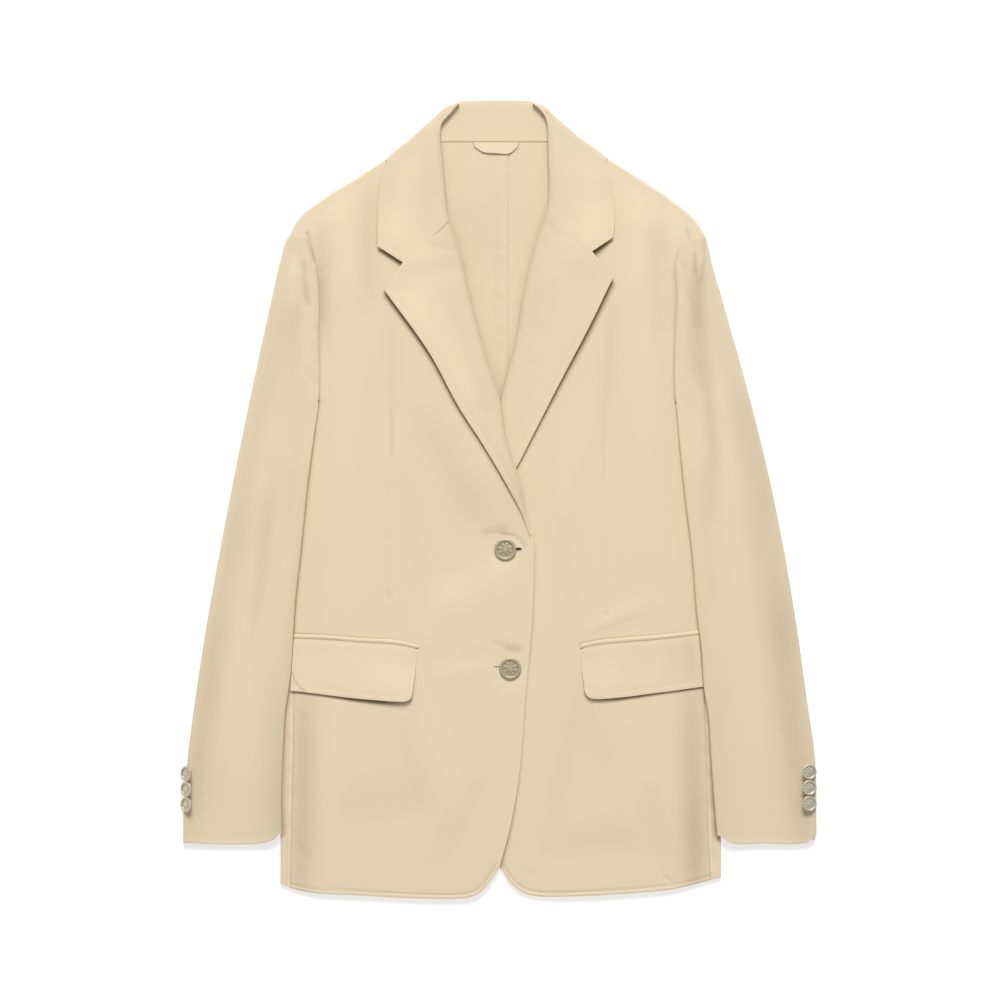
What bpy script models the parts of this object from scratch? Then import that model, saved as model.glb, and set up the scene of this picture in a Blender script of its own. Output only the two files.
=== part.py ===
"""A single-breasted blazer laid flat on its back. Metres, +Z up.

The cloth rests on z = 0. +Y runs from the hem to the collar, and +X is the wearer's left, so the wearer's
right front, which buttons over the left one, is at -X. Every size and place below is in millimetres.
Each piece is a surface on a grid: rows run down the body and columns across it. Solidify gives it its wall.
"""

import math

import bmesh
import bpy
import numpy as np

MM = 0.001

# Walls and clearances
WALL = 1.0  # one cloth
DOUBLE_WALL = 1.3  # a cloth and its facing: lapels, collar, flaps
SEAM = 0.3  # between pieces that are sewn edge to edge
SHOULDER_SEAM = 0.65  # between front and back in the shoulder's turn, where their ends lean together

# Heights of the middle of each wall above the floor
BACK_REST = 0.5
FRONT_CROWN = 4.2
SIDE_TOP = 3.0  # the body's fold at the side seam
OVER_RISE = 0.6  # the over front where it lies on the under one
UNDER_DIP = 1.2  # the under front beneath it
CROSSING_RISE = 2.45  # the over front where it lies on the other lapel
NECK_RISE = 0.6  # the fronts under the collar
BACK_NECK_RISE = 1.8  # the back where the collar runs beneath it
COLLAR_REST = 0.65  # the collar's fall under the back
STAND_REST = 3.0  # the collar's stand behind the neck
ROLL_RISE = 2.6  # a lapel above its front, at the roll
LAID_RISE = 1.7  # a lapel, collar or flap above its front, away from the roll
WELT_RISE = 1.3
ROLL_REACH = 22.0  # how far from the roll a lapel comes down to LAID_RISE
SLEEVE_OUTER_LOFT = 4.2  # between the sleeve's two layers, at its outer and inner folds
SLEEVE_INNER_LOFT = 3.0
SLEEVE_OVER_BODY = 4.15  # the sleeve's lower layer where it lies on the body's side

ROLL_RADIUS = ROLL_RISE / 2
ROLL_INSET = ROLL_RADIUS + DOUBLE_WALL / 2  # from the roll's visible line to its centre line

# The neck, from the body's middle
NECK_SEAM_Y = 347.3
ROLL_ARCH = 1.9  # the collar's roll at the back of the neck, above its ends
CENTRE_SEAM_X = 8.5
BACK_HEM_Y = -352.0

# The sleeves
ELBOW_TOP = 71.0  # where a sleeve leaves the underarm and lies over the body's side
SIDE_MARGIN = 3.0  # from the body's edge to the sleeve's inner seam
RAMP_WIDTH = 15.0  # in which the sleeve's lower layer comes down to the floor

# Buttons
FRONT_BUTTON_DIAMETER = 21.0
CUFF_BUTTON_DIAMETER = 15.0

# How many steps each stretch of an edge has. Pieces that share a seam share its points.
NECK_STEPS = 4
ROLL_STEPS = 8
EDGE_STEPS = 7
CORNER_STEPS = 4
CAP_STEPS = 3
ARMHOLE_STEPS = 5
UNDERARM_STEPS = 2
SIDE_STEPS = 14
SHOULDER_STEPS = 8
BACK_NECK_STEPS = 3
CUFF_STEPS = 10
FLAP_STEPS = 6
TURN_STEPS = 4
FINE_STEPS = 600

# Edges of each side's pieces, as (x, y) from the collar down or from the middle out.
OUTLINES = {
    "right": {
        "sign": -1,
        "shoulder": [(-84, 348), (-97.3, 336.4), (-109.5, 325), (-124, 318), (-141, 309), (-172, 289.5),
                     (-195, 270), (-202, 257)],
        "cap": [(-202, 257), (-190.5, 253), (-182, 241.5)],
        "armhole": [(-182, 241.5), (-177, 222), (-174.6, 193), (-175, 154), (-174, 120), (-175, 94)],
        "underarm": [(-175, 94), (-178.5, 84), (-187, 71)],
        "side_seam": [(-187, 71), (-190, 20), (-197, -59), (-199.5, -136), (-199.6, -227), (-201.7, -316),
                      (-202.6, -377)],
        "body_edge": [(-199, 72), (-206, -59), (-210, -185), (-212, -300), (-212.4, -373)],
        "back_cap": [(-202, 257), (-193, 247), (-184, 228)],
        "back_armhole": [(-184, 228), (-180, 193), (-179, 154), (-178, 120), (-181, 100)],
        "side_top": [(-181, 100), (-190, 86), (-199, 72)],
        "back_seam": [(-181, 100), (-172, 60), (-165, 0), (-161, -100), (-160, -200), (-161, -373)],
        "sleeve_outer": [(-202.6, 256), (-206.5, 250), (-212, 232), (-221, 193), (-238, 115), (-254, 38),
                         (-269, -40), (-283, -117), (-295, -195), (-303, -258), (-306.5, -311),
                         (-306.5, -333)],
        "sleeve_inner": [(-175, 94), (-178, 83), (-180.3, 57), (-185, 19), (-191.6, -45), (-197.4, -97),
                         (-203.2, -180), (-207, -205), (-209.5, -248), (-211, -300), (-210.5, -324)],
        "outer_seam": [(-193, 247), (-198, 225), (-203, 193), (-221, 115), (-236, 38), (-251, -40),
                       (-265, -117), (-277, -195), (-285, -260), (-287, -311), (-287, -333)],
        "cuff": [(-306.5, -333), (-289.5, -333.7), (-250.7, -334.6), (-226.5, -332.7), (-216, -329),
                 (-210.5, -324)],
        "roll": [(-48, 269), (-38.5, 241), (-28, 195), (-11, 132), (1, 95), (5.8, 59), (14, 26),
                 (23.8, -3), (26, -14)],
        "front_edge": [(26.4, -16.3), (31, -35), (33.5, -44), (33.5, -62), (31.5, -119), (25.7, -187),
                       (18, -276), (10, -320), (0.3, -356)],
        "corner": [(0.3, -356), (-8.6, -369.6), (-19, -381), (-32.5, -387)],
        "hem": [(-32.5, -387), (-58, -387.5), (-135, -384), (-190.6, -380), (-202.6, -377)],
        "back_hem": [(8.5, -352), (-100, -366), (-161, -373)],
        "gorge": [(-48, 269), (-93.6, 229)],
        "notch": [(-93.6, 229), (-112, 203)],
        "lapel_edge": [(-112, 203), (-67, 140), (-38.3, 87.3), (-14.8, 50.7), (8.7, 10.8), (21.5, -14)],
        "collar_end": [(-93.6, 229), (-118, 244.4)],
        "collar_edge": [(-118, 244.4), (-117.4, 275.5), (-115.5, 305.6), (-109.5, 324.5)],
        "collar_roll": [(-50, 269), (-52.4, 281), (-54.2, 299), (-58.7, 331.7), (-58.7, 355), (-53, 370),
                        (-42, 383.2)],
        "collar_neck": [(-51.6, 268.3), (-66, 305), (-83, 347.3)],
    },
    "left": {
        "sign": 1,
        "shoulder": [(79.6, 347.2), (94.6, 334.4), (104.4, 326), (120, 318), (137, 309), (166, 289.5),
                     (189, 270), (198, 256)],
        "cap": [(198, 256), (184.8, 251.5), (175, 244)],
        "armhole": [(175, 244), (171, 232), (171.6, 199), (169.8, 154), (169.1, 115), (170.7, 92)],
        "underarm": [(170.7, 92), (174, 82), (183, 71)],
        "side_seam": [(183, 71), (188, 0), (194, -70), (197.5, -136), (198.5, -193), (200.3, -248),
                      (202.8, -336), (204.8, -369)],
        "body_edge": [(196, 72), (205, -59), (210, -185), (213.5, -260), (214.7, -333), (214.7, -367)],
        "back_cap": [(198, 256), (189, 247), (180, 228)],
        "back_armhole": [(180, 228), (176, 193), (175, 154), (174, 120), (177, 100)],
        "side_top": [(177, 100), (187, 86), (196, 72)],
        "back_seam": [(177, 100), (169, 60), (163, 0), (160, -100), (159, -200), (160, -369)],
        "sleeve_outer": [(198.6, 255), (201, 249), (205, 232), (216, 193), (238, 115), (257.5, 38),
                         (274, -40), (287, -117), (298, -195), (306, -253), (307, -311), (305.7, -332)],
        "sleeve_inner": [(170.7, 92), (172.5, 76), (174, 57), (180, -2), (186.3, -53), (191.6, -117),
                         (195.8, -149), (197.4, -181), (201.8, -208.5), (205, -256), (208, -296),
                         (210.7, -326)],
        "outer_seam": [(189, 247), (193, 225), (198, 193), (219, 115), (238, 38), (255, -40), (268, -117),
                       (279, -195), (287, -260), (288, -311), (287, -332)],
        "cuff": [(305.7, -332), (295.4, -333.7), (256.6, -333.5), (222, -332.5), (210.7, -326)],
        "roll": [(43, 273), (32.5, 240.6), (22.8, 199), (15, 153), (6.3, 119), (0.5, 95), (-5, 62),
                 (-10, 25), (-15, -14)],
        "front_edge": [(-15.4, -16.3), (-18, -35), (-19, -62), (-19, -137), (-16, -195), (-12, -253),
                       (-7, -311), (-0.5, -356)],
        "corner": [(-0.5, -356), (7.3, -363.8), (19, -376.4), (30.6, -384)],
        "hem": [(30.6, -384), (62.6, -386), (137, -381.2), (173, -377.3), (188.7, -373.4), (204.8, -369)],
        "back_hem": [(8.5, -352), (100, -364), (160, -369)],
        "gorge": [(43, 273), (89.7, 239.6)],
        "notch": [(89.7, 239.6), (110, 214.4)],
        "lapel_edge": [(110, 214.4), (88, 169), (58.7, 113), (32.2, 61.3), (16.4, 30.7), (-2, 4),
                       (-10.5, -14)],
        "collar_end": [(89.7, 239.6), (110, 253.2)],
        "collar_edge": [(110, 253.2), (111, 266), (109, 290), (107, 312), (103.6, 325.8)],
        "collar_roll": [(45, 273), (48, 285), (50, 299), (48.6, 329), (47.7, 349), (44, 371),
                        (36.4, 383.2)],
        "collar_neck": [(46.6, 272.3), (62, 305), (78.5, 347.3)],
    },
}

# Pocket welts by their two edges, each with its flap's lower edge, and the hanger loop
POCKETS = {
    "right": {
        "upper": [(-198.6, -130.7), (-150.8, -133.6), (-78, -142.5)],
        "seam": [(-198.6, -135.2), (-150.8, -137.9), (-79, -144.8)],
        "flap": [(-200.6, -184.5), (-171, -188.7), (-131, -193), (-92, -196.8), (-85.5, -192.5)],
    },
    "left": {
        "upper": [(78, -140.6), (108, -135.8), (192, -127.2)],
        "seam": [(78, -144.5), (108, -139.6), (192.3, -130)],
        "flap": [(83, -188.5), (90, -193.8), (137, -190), (190, -184), (195.3, -182.6)],
    },
}
HANGER_LOOP = {
    "upper": [(-26.2, 346.4), (19, 346.4)],
    "lower": [(-23.5, 341), (-17, 336.6), (-4, 335), (10, 335), (17, 340.5)],
}

# Soft folds in the fronts and sleeves: their middle, half length, half width and rise, with the angle in
# degrees that each leans from +Y
FOLDS = {
    "front_right": [
        {"x": -129, "y": 230, "length": 60, "width": 11, "rise": -0.7, "lean": 0},
        {"x": -152, "y": 215, "length": 75, "width": 15, "rise": 0.8, "lean": -4},
        {"x": -60, "y": -60, "length": 60, "width": 16, "rise": 0.5, "lean": 70},
        {"x": -120, "y": -290, "length": 90, "width": 22, "rise": 0.5, "lean": 8},
    ],
    "front_left": [
        {"x": 155, "y": 210, "length": 60, "width": 12, "rise": 0.7, "lean": 3},
        {"x": 132, "y": 225, "length": 55, "width": 11, "rise": -0.6, "lean": 0},
        {"x": 80, "y": -300, "length": 80, "width": 20, "rise": 0.5, "lean": -6},
    ],
    "sleeve_right": [
        {"x": -196, "y": 150, "length": 80, "width": 9, "rise": -0.6, "lean": -10},
        {"x": -225, "y": 40, "length": 120, "width": 14, "rise": 0.6, "lean": -9},
    ],
    "sleeve_left": [
        {"x": 197, "y": 135, "length": 110, "width": 10, "rise": -0.9, "lean": 9},
        {"x": 220, "y": 90, "length": 120, "width": 11, "rise": 0.8, "lean": 13},
    ],
}

# Front buttons, by the middle of their face, and cuff buttons, by each cuff's fold
FRONT_BUTTONS = {
    "button_upper": {"x": 5.6, "y": -49.2, "foot": 6.7},
    "button_lower": {"x": 10.4, "y": -164.2, "foot": 5.8},
}
CUFF_BUTTONS = {
    "right": {"x": -302.1, "z": 7.1, "lean": -40, "rows": (-265.8, -280.8, -295.8)},
    "left": {"x": 301.4, "z": 7.9, "lean": 32, "rows": (-264.0, -279.4, -294.8)},
}

CLOTH_COLOUR = (0.75, 0.64, 0.44, 1.0)
METAL_COLOUR = (0.38, 0.32, 0.23, 1.0)


# Lines


def smooth_line(points):
    """A smooth line through the points, finely divided."""
    knots = np.array(points, float)
    along = np.concatenate([[0.0], np.cumsum(np.linalg.norm(np.diff(knots, axis=0), axis=1))])
    slopes = np.gradient(knots, along, axis=0)
    fine = np.linspace(0.0, along[-1], FINE_STEPS + 1)
    span = np.clip(np.searchsorted(along, fine, side="right") - 1, 0, len(along) - 2)
    length = (along[span + 1] - along[span])[:, None]
    t = (fine - along[span])[:, None] / length
    start = knots[span] * (2 * t**3 - 3 * t**2 + 1) + slopes[span] * length * (t**3 - 2 * t**2 + t)
    end = knots[span + 1] * (3 * t**2 - 2 * t**3) + slopes[span + 1] * length * (t**3 - t**2)
    return start + end


def fractions_of(line):
    """How far along the line each of its points is, from 0 to 1."""
    steps = np.linalg.norm(np.diff(line, axis=0), axis=1)
    return np.concatenate([[0.0], np.cumsum(steps)]) / steps.sum()


def evenly(points, steps):
    """A smooth line through the points, cut into equal steps."""
    line = smooth_line(points)
    wanted = np.linspace(0.0, 1.0, steps + 1)
    at = fractions_of(line)
    return np.stack([np.interp(wanted, at, line[:, 0]), np.interp(wanted, at, line[:, 1])], axis=1)


def joined(*lines):
    """Lines that follow each other, made one."""
    return np.concatenate([lines[0]] + [line[1:] for line in lines[1:]])


def normals(line):
    """The unit normal at each point, to the right of the way that the line runs."""
    along = np.gradient(line, axis=0)
    along = along / np.linalg.norm(along, axis=1)[:, None]
    return np.stack([along[:, 1], -along[:, 0]], axis=1)


def beside(line, distance):
    """The line moved to its right by a distance."""
    return line + normals(line) * distance


def at_heights(points, heights):
    """The points at those heights of a line that runs down the body."""
    return np.stack([x_of(points, heights), heights], axis=1)


def x_of(points, y):
    """Where a line that runs down the body is, at the heights y."""
    line = smooth_line(points)
    line = line[np.argsort(line[:, 1])]
    return np.interp(y, line[:, 1], line[:, 0])


# Surfaces


def patch(first, last, left, right):
    """A surface between four edges: rows from first to last, columns from left to right."""
    across = ((fractions_of(first) + fractions_of(last)) / 2)[None, :, None]
    down = ((fractions_of(left) + fractions_of(right)) / 2)[:, None, None]
    rows = (1 - down) * first[None] + down * last[None]
    columns = (1 - across) * left[:, None] + across * right[:, None]
    corners = (1 - down) * ((1 - across) * first[0] + across * first[-1])
    corners = corners + down * ((1 - across) * last[0] + across * last[-1])
    return rows + columns - corners


def ruled(left, right, fractions):
    """Straight rows between two edges, with a column at each fraction of the way."""
    share = np.array(fractions)[None, :, None]
    return (1 - share) * left[:, None] + share * right[:, None]


def ease(value):
    """0 below 0, 1 above 1, and a smooth step between."""
    t = np.clip(value, 0.0, 1.0)
    return t * t * (3 - 2 * t)


def raised(flat, heights):
    """The flat grid with its heights."""
    return np.concatenate([flat, heights[..., None]], axis=-1)


def half_turn(centre, outward, low, high, angles):
    """Columns round a fold, at each angle from 0, its upper side, to pi, its lower side."""
    turn = np.array(angles)
    radius = ((high - low) / 2)[:, None]
    flat = centre[:, None] + outward[:, None] * (radius * np.sin(turn))[..., None]
    return raised(flat, ((high + low) / 2)[:, None] + radius * np.cos(turn))


def fold_rise(x, y, folds):
    """The soft folds: ridges and troughs that fade at their ends and sides."""
    rise = np.zeros_like(x)
    for fold in folds:
        lean = math.radians(fold["lean"])
        along = (x - fold["x"]) * math.sin(lean) + (y - fold["y"]) * math.cos(lean)
        aside = (x - fold["x"]) * math.cos(lean) - (y - fold["y"]) * math.sin(lean)
        shape = np.exp(-((aside / fold["width"]) ** 2) - (along / fold["length"]) ** 4)
        rise = rise + fold["rise"] * shape
    return rise


# Heights


def front_height(x, y, side):
    """The middle of a front's wall, and of the strip of side panel beside it."""
    edge = abs(x_of(OUTLINES[side]["body_edge"], y))
    inside = edge - abs(x)
    side_dip = (FRONT_CROWN - SIDE_TOP) * (1 - ease((inside - 4) / 50)) * ease((115 - y) / 30)
    height = FRONT_CROWN - side_dip + NECK_RISE * ease((y - 285) / 35)
    if side == "right":
        height = height + OVER_RISE * ease((x + 60) / 38)
        crossing = ease((x + 58) / 38) * ease((190 - y) / 90) * ease((y + 44) / 30)
        height = height + CROSSING_RISE * crossing
    else:
        height = height - UNDER_DIP * ease((62 - x) / 24) * ease((215 - y) / 60)
    return height + fold_rise(x, y, FOLDS["front_" + side])


def back_height(x, y):
    """The middle of the back's wall, which climbs over the collar at the neck."""
    return BACK_REST + BACK_NECK_RISE * ease((y - 285) / 15) * ease((136 - abs(x)) / 20)


def sleeve_under_height(x, y, side):
    """The sleeve's lower layer: on the floor, and raised where it lies on the body's side."""
    edge = abs(x_of(OUTLINES[side]["body_edge"], y))
    return BACK_REST + SLEEVE_OVER_BODY * ease((edge + 16 - abs(x)) / 13) * ease((112 - y) / 20)


def sleeve_top_height(x, y, side, across):
    """The sleeve's upper layer, level with the front at the armhole; across is 0 at the outer fold."""
    edge = abs(x_of(OUTLINES[side]["body_edge"], y))
    over_body = ease((edge + 27 - abs(x)) / 30) * ease((112 - y) / 20)
    loft = SLEEVE_OUTER_LOFT - (SLEEVE_OUTER_LOFT - SLEEVE_INNER_LOFT) * over_body
    height = BACK_REST + SLEEVE_OVER_BODY * over_body + loft
    at_armhole = (BACK_REST + SLEEVE_OUTER_LOFT - FRONT_CROWN) * across * ease((y - 92) / 20)
    return height - at_armhole + fold_rise(x, y, FOLDS["sleeve_" + side]) * ease(across * 5)


def laid_on_front(x, y, side):
    """A lapel or the collar on its front: full at the roll, flat beyond it."""
    outline = OUTLINES[side]
    roll = np.concatenate([smooth_line(outline["roll"]), smooth_line(outline["collar_roll"])])
    away = np.full(x.shape, np.inf)
    for point in roll[::4]:
        away = np.minimum(away, np.hypot(x - point[0], y - point[1]))
    fullness = 1 - ease((away - ROLL_INSET) / ROLL_REACH)
    return front_height(x, y, side) + LAID_RISE + (ROLL_RISE - LAID_RISE) * fullness


# Making


def material_of(name, colour, roughness, metallic):
    material = bpy.data.materials.new(name)
    material.use_nodes = True
    shader = material.node_tree.nodes["Principled BSDF"]
    shader.inputs["Base Color"].default_value = colour
    shader.inputs["Roughness"].default_value = roughness
    shader.inputs["Metallic"].default_value = metallic
    return material


def add(name, mesh, colour, roughness=0.85, metallic=0.0):
    """An object in the blazer's collection, shaded smooth, with its own material."""
    piece = bpy.data.objects.new(name, mesh)
    bpy.data.collections["blazer"].objects.link(piece)
    mesh.materials.append(material_of(name, colour, roughness, metallic))
    mesh.shade_smooth()
    return piece


def cloth(name, grid, wall=WALL, left_out=None):
    """A grid primitive whose points take the surface's places, walled by Solidify.

    left_out gives (rows, columns) slices of the faces that the piece doesn't have.
    """
    rows, columns = grid.shape[:2]
    work = bmesh.new()
    bmesh.ops.create_grid(work, x_segments=columns - 1, y_segments=rows - 1, size=1.0)
    work.verts.ensure_lookup_table()
    for vertex, place in zip(work.verts, grid.reshape(-1, 3) * MM):
        vertex.co = place
    if left_out:
        gone = np.zeros((rows - 1, columns - 1), bool)
        gone[left_out] = True
        work.faces.ensure_lookup_table()
        faces = [face for face, out in zip(list(work.faces), gone.reshape(-1)) if out]
        bmesh.ops.delete(work, geom=faces, context="FACES")
    mesh = bpy.data.meshes.new(name)
    work.to_mesh(mesh)
    work.free()
    piece = add(name, mesh, CLOTH_COLOUR)
    shell = piece.modifiers.new("wall", "SOLIDIFY")
    shell.thickness = wall * MM
    shell.offset = 0.0
    shell.use_even_offset = True
    return piece


def turned(name, profile, steps):
    """A turned piece from its profile, (radius, height) from the top down its outer side."""
    mesh = bpy.data.meshes.new(name)
    points = [(radius * MM, 0.0, height * MM) for radius, height in profile]
    mesh.from_pydata(points, [(i, i + 1) for i in range(len(points) - 1)], [])
    piece = add(name, mesh, METAL_COLOUR, 0.45, 1.0)
    screw = piece.modifiers.new("turn", "SCREW")
    screw.steps = steps
    screw.render_steps = steps
    screw.use_merge_vertices = True
    screw.merge_threshold = 0.00001
    return piece


# The seams that pieces share


def shoulder_edge(side):
    """The middle line of the shoulder's turn, its outward direction and its radius."""
    outline = OUTLINES[side]
    shoulder = evenly(outline["shoulder"], SHOULDER_STEPS)
    outward = normals(shoulder) * -outline["sign"]
    x, y = shoulder[:, 0], shoulder[:, 1]
    radius = (front_height(x, y, side) - back_height(x, y) - SHOULDER_SEAM) / 2
    return shoulder - outward * radius[:, None], outward, radius


def armhole_seam(side):
    """The sleeve's seam with the front, from the shoulder's end to the underarm."""
    outline = OUTLINES[side]
    cap = evenly(outline["cap"], CAP_STEPS)
    to_tip = shoulder_edge(side)[0][-1] - cap[0]
    cap = cap + to_tip * (1 - ease(np.linspace(0.0, 1.0, CAP_STEPS + 1)))[:, None]
    return joined(cap, evenly(outline["armhole"], ARMHOLE_STEPS))


def back_armhole_seam(side):
    """The sleeve's seam with the back, from the shoulder's end to the underarm."""
    outline = OUTLINES[side]
    cap = np.array(outline["back_cap"], float)
    to_tip = shoulder_edge(side)[0][-1] - cap[0]
    cap = cap + to_tip * np.array([1.0, 0.5, 0.0])[:, None]
    return joined(cap, evenly(outline["back_armhole"], ARMHOLE_STEPS))


def shoulder_roll(edge, outward, heights, seam_height, steps):
    """Rows that turn a panel's shoulder edge down or up to its seam at mid height."""
    angles = np.linspace(0.0, math.pi / 2, steps + 1)[:0:-1]
    away = seam_height - heights
    rows = []
    for angle in angles:
        flat = edge + outward * (abs(away) * math.sin(angle))[:, None]
        rows.append(raised(flat, heights + away * (1 - math.cos(angle))))
    return np.stack(rows)


# The pieces


def front(side):
    outline = OUTLINES[side]
    sign = outline["sign"]
    top, outward, radius = shoulder_edge(side)
    underarm = evenly(outline["underarm"], UNDERARM_STEPS)
    outer = joined(armhole_seam(side), underarm, evenly(outline["side_seam"], SIDE_STEPS))
    outer = beside(outer, sign * SEAM / 2)
    top[-1] = outer[0]
    neck = beside(evenly(outline["collar_neck"], NECK_STEPS)[::-1], -sign * SEAM)
    neck[0] = top[0]
    roll = beside(evenly(outline["roll"], ROLL_STEPS), -sign * (ROLL_INSET + 2 * SEAM))
    edge = evenly(outline["front_edge"], EDGE_STEPS)
    corner = evenly(outline["corner"], CORNER_STEPS)
    inner = np.concatenate([neck, roll[1:], edge, corner[1:]])
    hem = evenly(outline["hem"], SHOULDER_STEPS)
    hem[-1] = outer[-1]
    flat = patch(top, hem, inner, outer)
    grid = raised(flat, front_height(flat[..., 0], flat[..., 1], side))
    roll_rows = shoulder_roll(top, outward, grid[0, :, 2], grid[0, :, 2] - radius, 3)
    return cloth("front_" + side, np.concatenate([roll_rows, grid]))


def back(side):
    outline = OUTLINES[side]
    sign = outline["sign"]
    shoulder, outward, radius = shoulder_edge(side)
    neck_y = NECK_SEAM_Y - SEAM
    shoulder[0, 1] = neck_y
    neck_x = np.linspace(CENTRE_SEAM_X, shoulder[0, 0], BACK_NECK_STEPS + 1)
    top = joined(np.stack([neck_x, np.full(len(neck_x), neck_y)], axis=1), shoulder)
    outer = joined(back_armhole_seam(side), evenly(outline["back_seam"], SIDE_STEPS))
    outer = beside(outer, sign * SEAM / 2)
    top[-1] = shoulder[-1] = outer[0]
    heights = np.concatenate([[neck_y, 326.0], np.linspace(306.0, BACK_HEM_Y, len(outer) - 2)])
    centre = np.stack([np.full(len(outer), CENTRE_SEAM_X), heights], axis=1)
    hem = evenly(outline["back_hem"], len(top) - 1)
    hem[-1] = outer[-1]
    flat = patch(top, hem, centre, outer)
    flat[..., 0] += sign * SEAM / 2 * (1 - ease(abs(flat[..., 0] - CENTRE_SEAM_X) / 20))
    grid = raised(flat, back_height(flat[..., 0], flat[..., 1]))
    ends = grid[0, BACK_NECK_STEPS:, 2]
    roll_rows = np.repeat(grid[:1], 3, axis=0)
    roll_rows[:, BACK_NECK_STEPS:] = shoulder_roll(shoulder, outward, ends, ends + radius, 3)
    left_out = (slice(0, 3), slice(0, BACK_NECK_STEPS))
    return cloth("back_" + side, np.concatenate([roll_rows, grid]), left_out=left_out)


def side_panel(side):
    """From the front's seam round the body's fold to the seam with the back."""
    outline = OUTLINES[side]
    sign = outline["sign"]
    radius = (SIDE_TOP - BACK_REST) / 2
    fold = beside(evenly(outline["body_edge"], SIDE_STEPS), sign * (radius + WALL / 2))
    outward = normals(fold) * -sign
    seam = beside(evenly(outline["side_seam"], SIDE_STEPS), -sign * SEAM / 2)
    upper = ruled(seam, fold, (0.0, 0.5))
    height = front_height(upper[..., 0], upper[..., 1], side)
    high = np.full(len(fold), SIDE_TOP)
    low = np.full(len(fold), BACK_REST)
    turn = half_turn(fold, outward, low, high, np.linspace(0, math.pi, TURN_STEPS + 1)[:-1])
    back_edge = beside(evenly(outline["back_seam"], SIDE_STEPS), -sign * SEAM / 2)
    top = evenly(outline["side_top"], UNDERARM_STEPS)[::-1]
    top[0] = fold[0]
    top[-1] = back_edge[0]
    bottom = ruled(fold[-1:], back_edge[-1:], (0.0, 0.5, 1.0))[0]
    under = patch(top, bottom, fold, back_edge)
    lower = raised(under, np.full(under.shape[:2], BACK_REST))
    return cloth("side_" + side, np.concatenate([raised(upper, height), turn, lower], axis=1))


def lapel(side):
    """The front's top turned back at the roll: rows from the gorge to the break."""
    outline = OUTLINES[side]
    sign = outline["sign"]
    centre = beside(evenly(outline["roll"], ROLL_STEPS), -sign * ROLL_INSET)
    inward = normals(centre) * sign
    gorge = evenly(outline["gorge"], 3)
    top = joined(gorge, evenly(outline["notch"], 2))
    top = top + np.array([0.0, -SEAM / 2])
    top[0] = centre[0]
    end = ruled(centre[-1:], np.array(outline["lapel_edge"][-1:], float), fractions_of(top))[0]
    outer = evenly(outline["lapel_edge"], ROLL_STEPS)
    outer[0] = top[-1]
    flat = patch(top, end, centre, outer)
    upper = raised(flat, laid_on_front(flat[..., 0], flat[..., 1], side))
    low = front_height(centre[:, 0], centre[:, 1], side)
    upper[:, 0, 2] = low + ROLL_RISE
    turn = half_turn(centre, inward, low, low + ROLL_RISE, np.linspace(math.pi, 0, TURN_STEPS + 1)[:-1])
    return cloth("lapel_" + side, np.concatenate([turn, upper], axis=1), DOUBLE_WALL)


def collar_rows(side):
    """The collar's leg over one front, from the gorge to its fold over the shoulder.

    Gives each row's neck edge, roll and fall in plan, with the heights of the stand and the fall.
    """
    outline = OUTLINES[side]
    roll = evenly(outline["collar_roll"], NECK_STEPS)
    neck = evenly(outline["collar_neck"], NECK_STEPS)
    end = joined(evenly(outline["gorge"], 3), evenly(outline["collar_end"], 2))
    end = end + np.array([0.0, SEAM / 2])
    end[0] = roll[0]
    outer = evenly(outline["collar_edge"], NECK_STEPS)
    outer[0] = end[-1]
    fold = ruled(roll[-1:], outer[-1:], fractions_of(end))[0]
    fall = patch(end, fold, roll, outer)
    stand = ruled(neck, roll, (0.0, 0.5, 1.0))
    stand_height = front_height(stand[..., 0], stand[..., 1], side)
    fall_height = laid_on_front(fall[..., 0], fall[..., 1], side)
    fall_height[:, 0] = stand_height[:, -1] + ROLL_RISE
    return stand, stand_height, fall, fall_height


def collar_grid(stand, stand_height, fall, fall_height):
    """Whole rows: the stand from the neck seam, the hairpin at the roll, and the fall."""
    beyond = fall[:, 0] - fall[:, -1]
    beyond = beyond / np.linalg.norm(beyond, axis=1)[:, None]
    angles = np.linspace(math.pi, 0, TURN_STEPS + 1)[1:-1]
    low = np.minimum(stand_height[:, -1], fall_height[:, 0])
    high = np.maximum(stand_height[:, -1], fall_height[:, 0])
    if stand_height[0, -1] > fall_height[0, 0]:
        angles = angles[::-1]
    turn = half_turn(fall[:, 0], beyond, low, high, angles)
    return np.concatenate([raised(stand, stand_height), turn, raised(fall, fall_height)], axis=1)


def collar_fold(leg_row, back_row, outward, steps):
    """Rows round the shoulder, between the leg's last row and the back's first one."""
    middle = (leg_row[:, 2] + back_row[:, 2]) / 2
    radius = (leg_row[:, 2] - back_row[:, 2]) / 2
    rows = []
    for angle in np.linspace(0.0, math.pi, steps + 1)[1:-1]:
        row = leg_row.copy()
        row[:, :2] = row[:, :2] + outward * (radius * math.sin(angle))[:, None]
        row[:, 2] = middle + radius * math.cos(angle)
        rows.append(row)
    return np.stack(rows)


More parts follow.
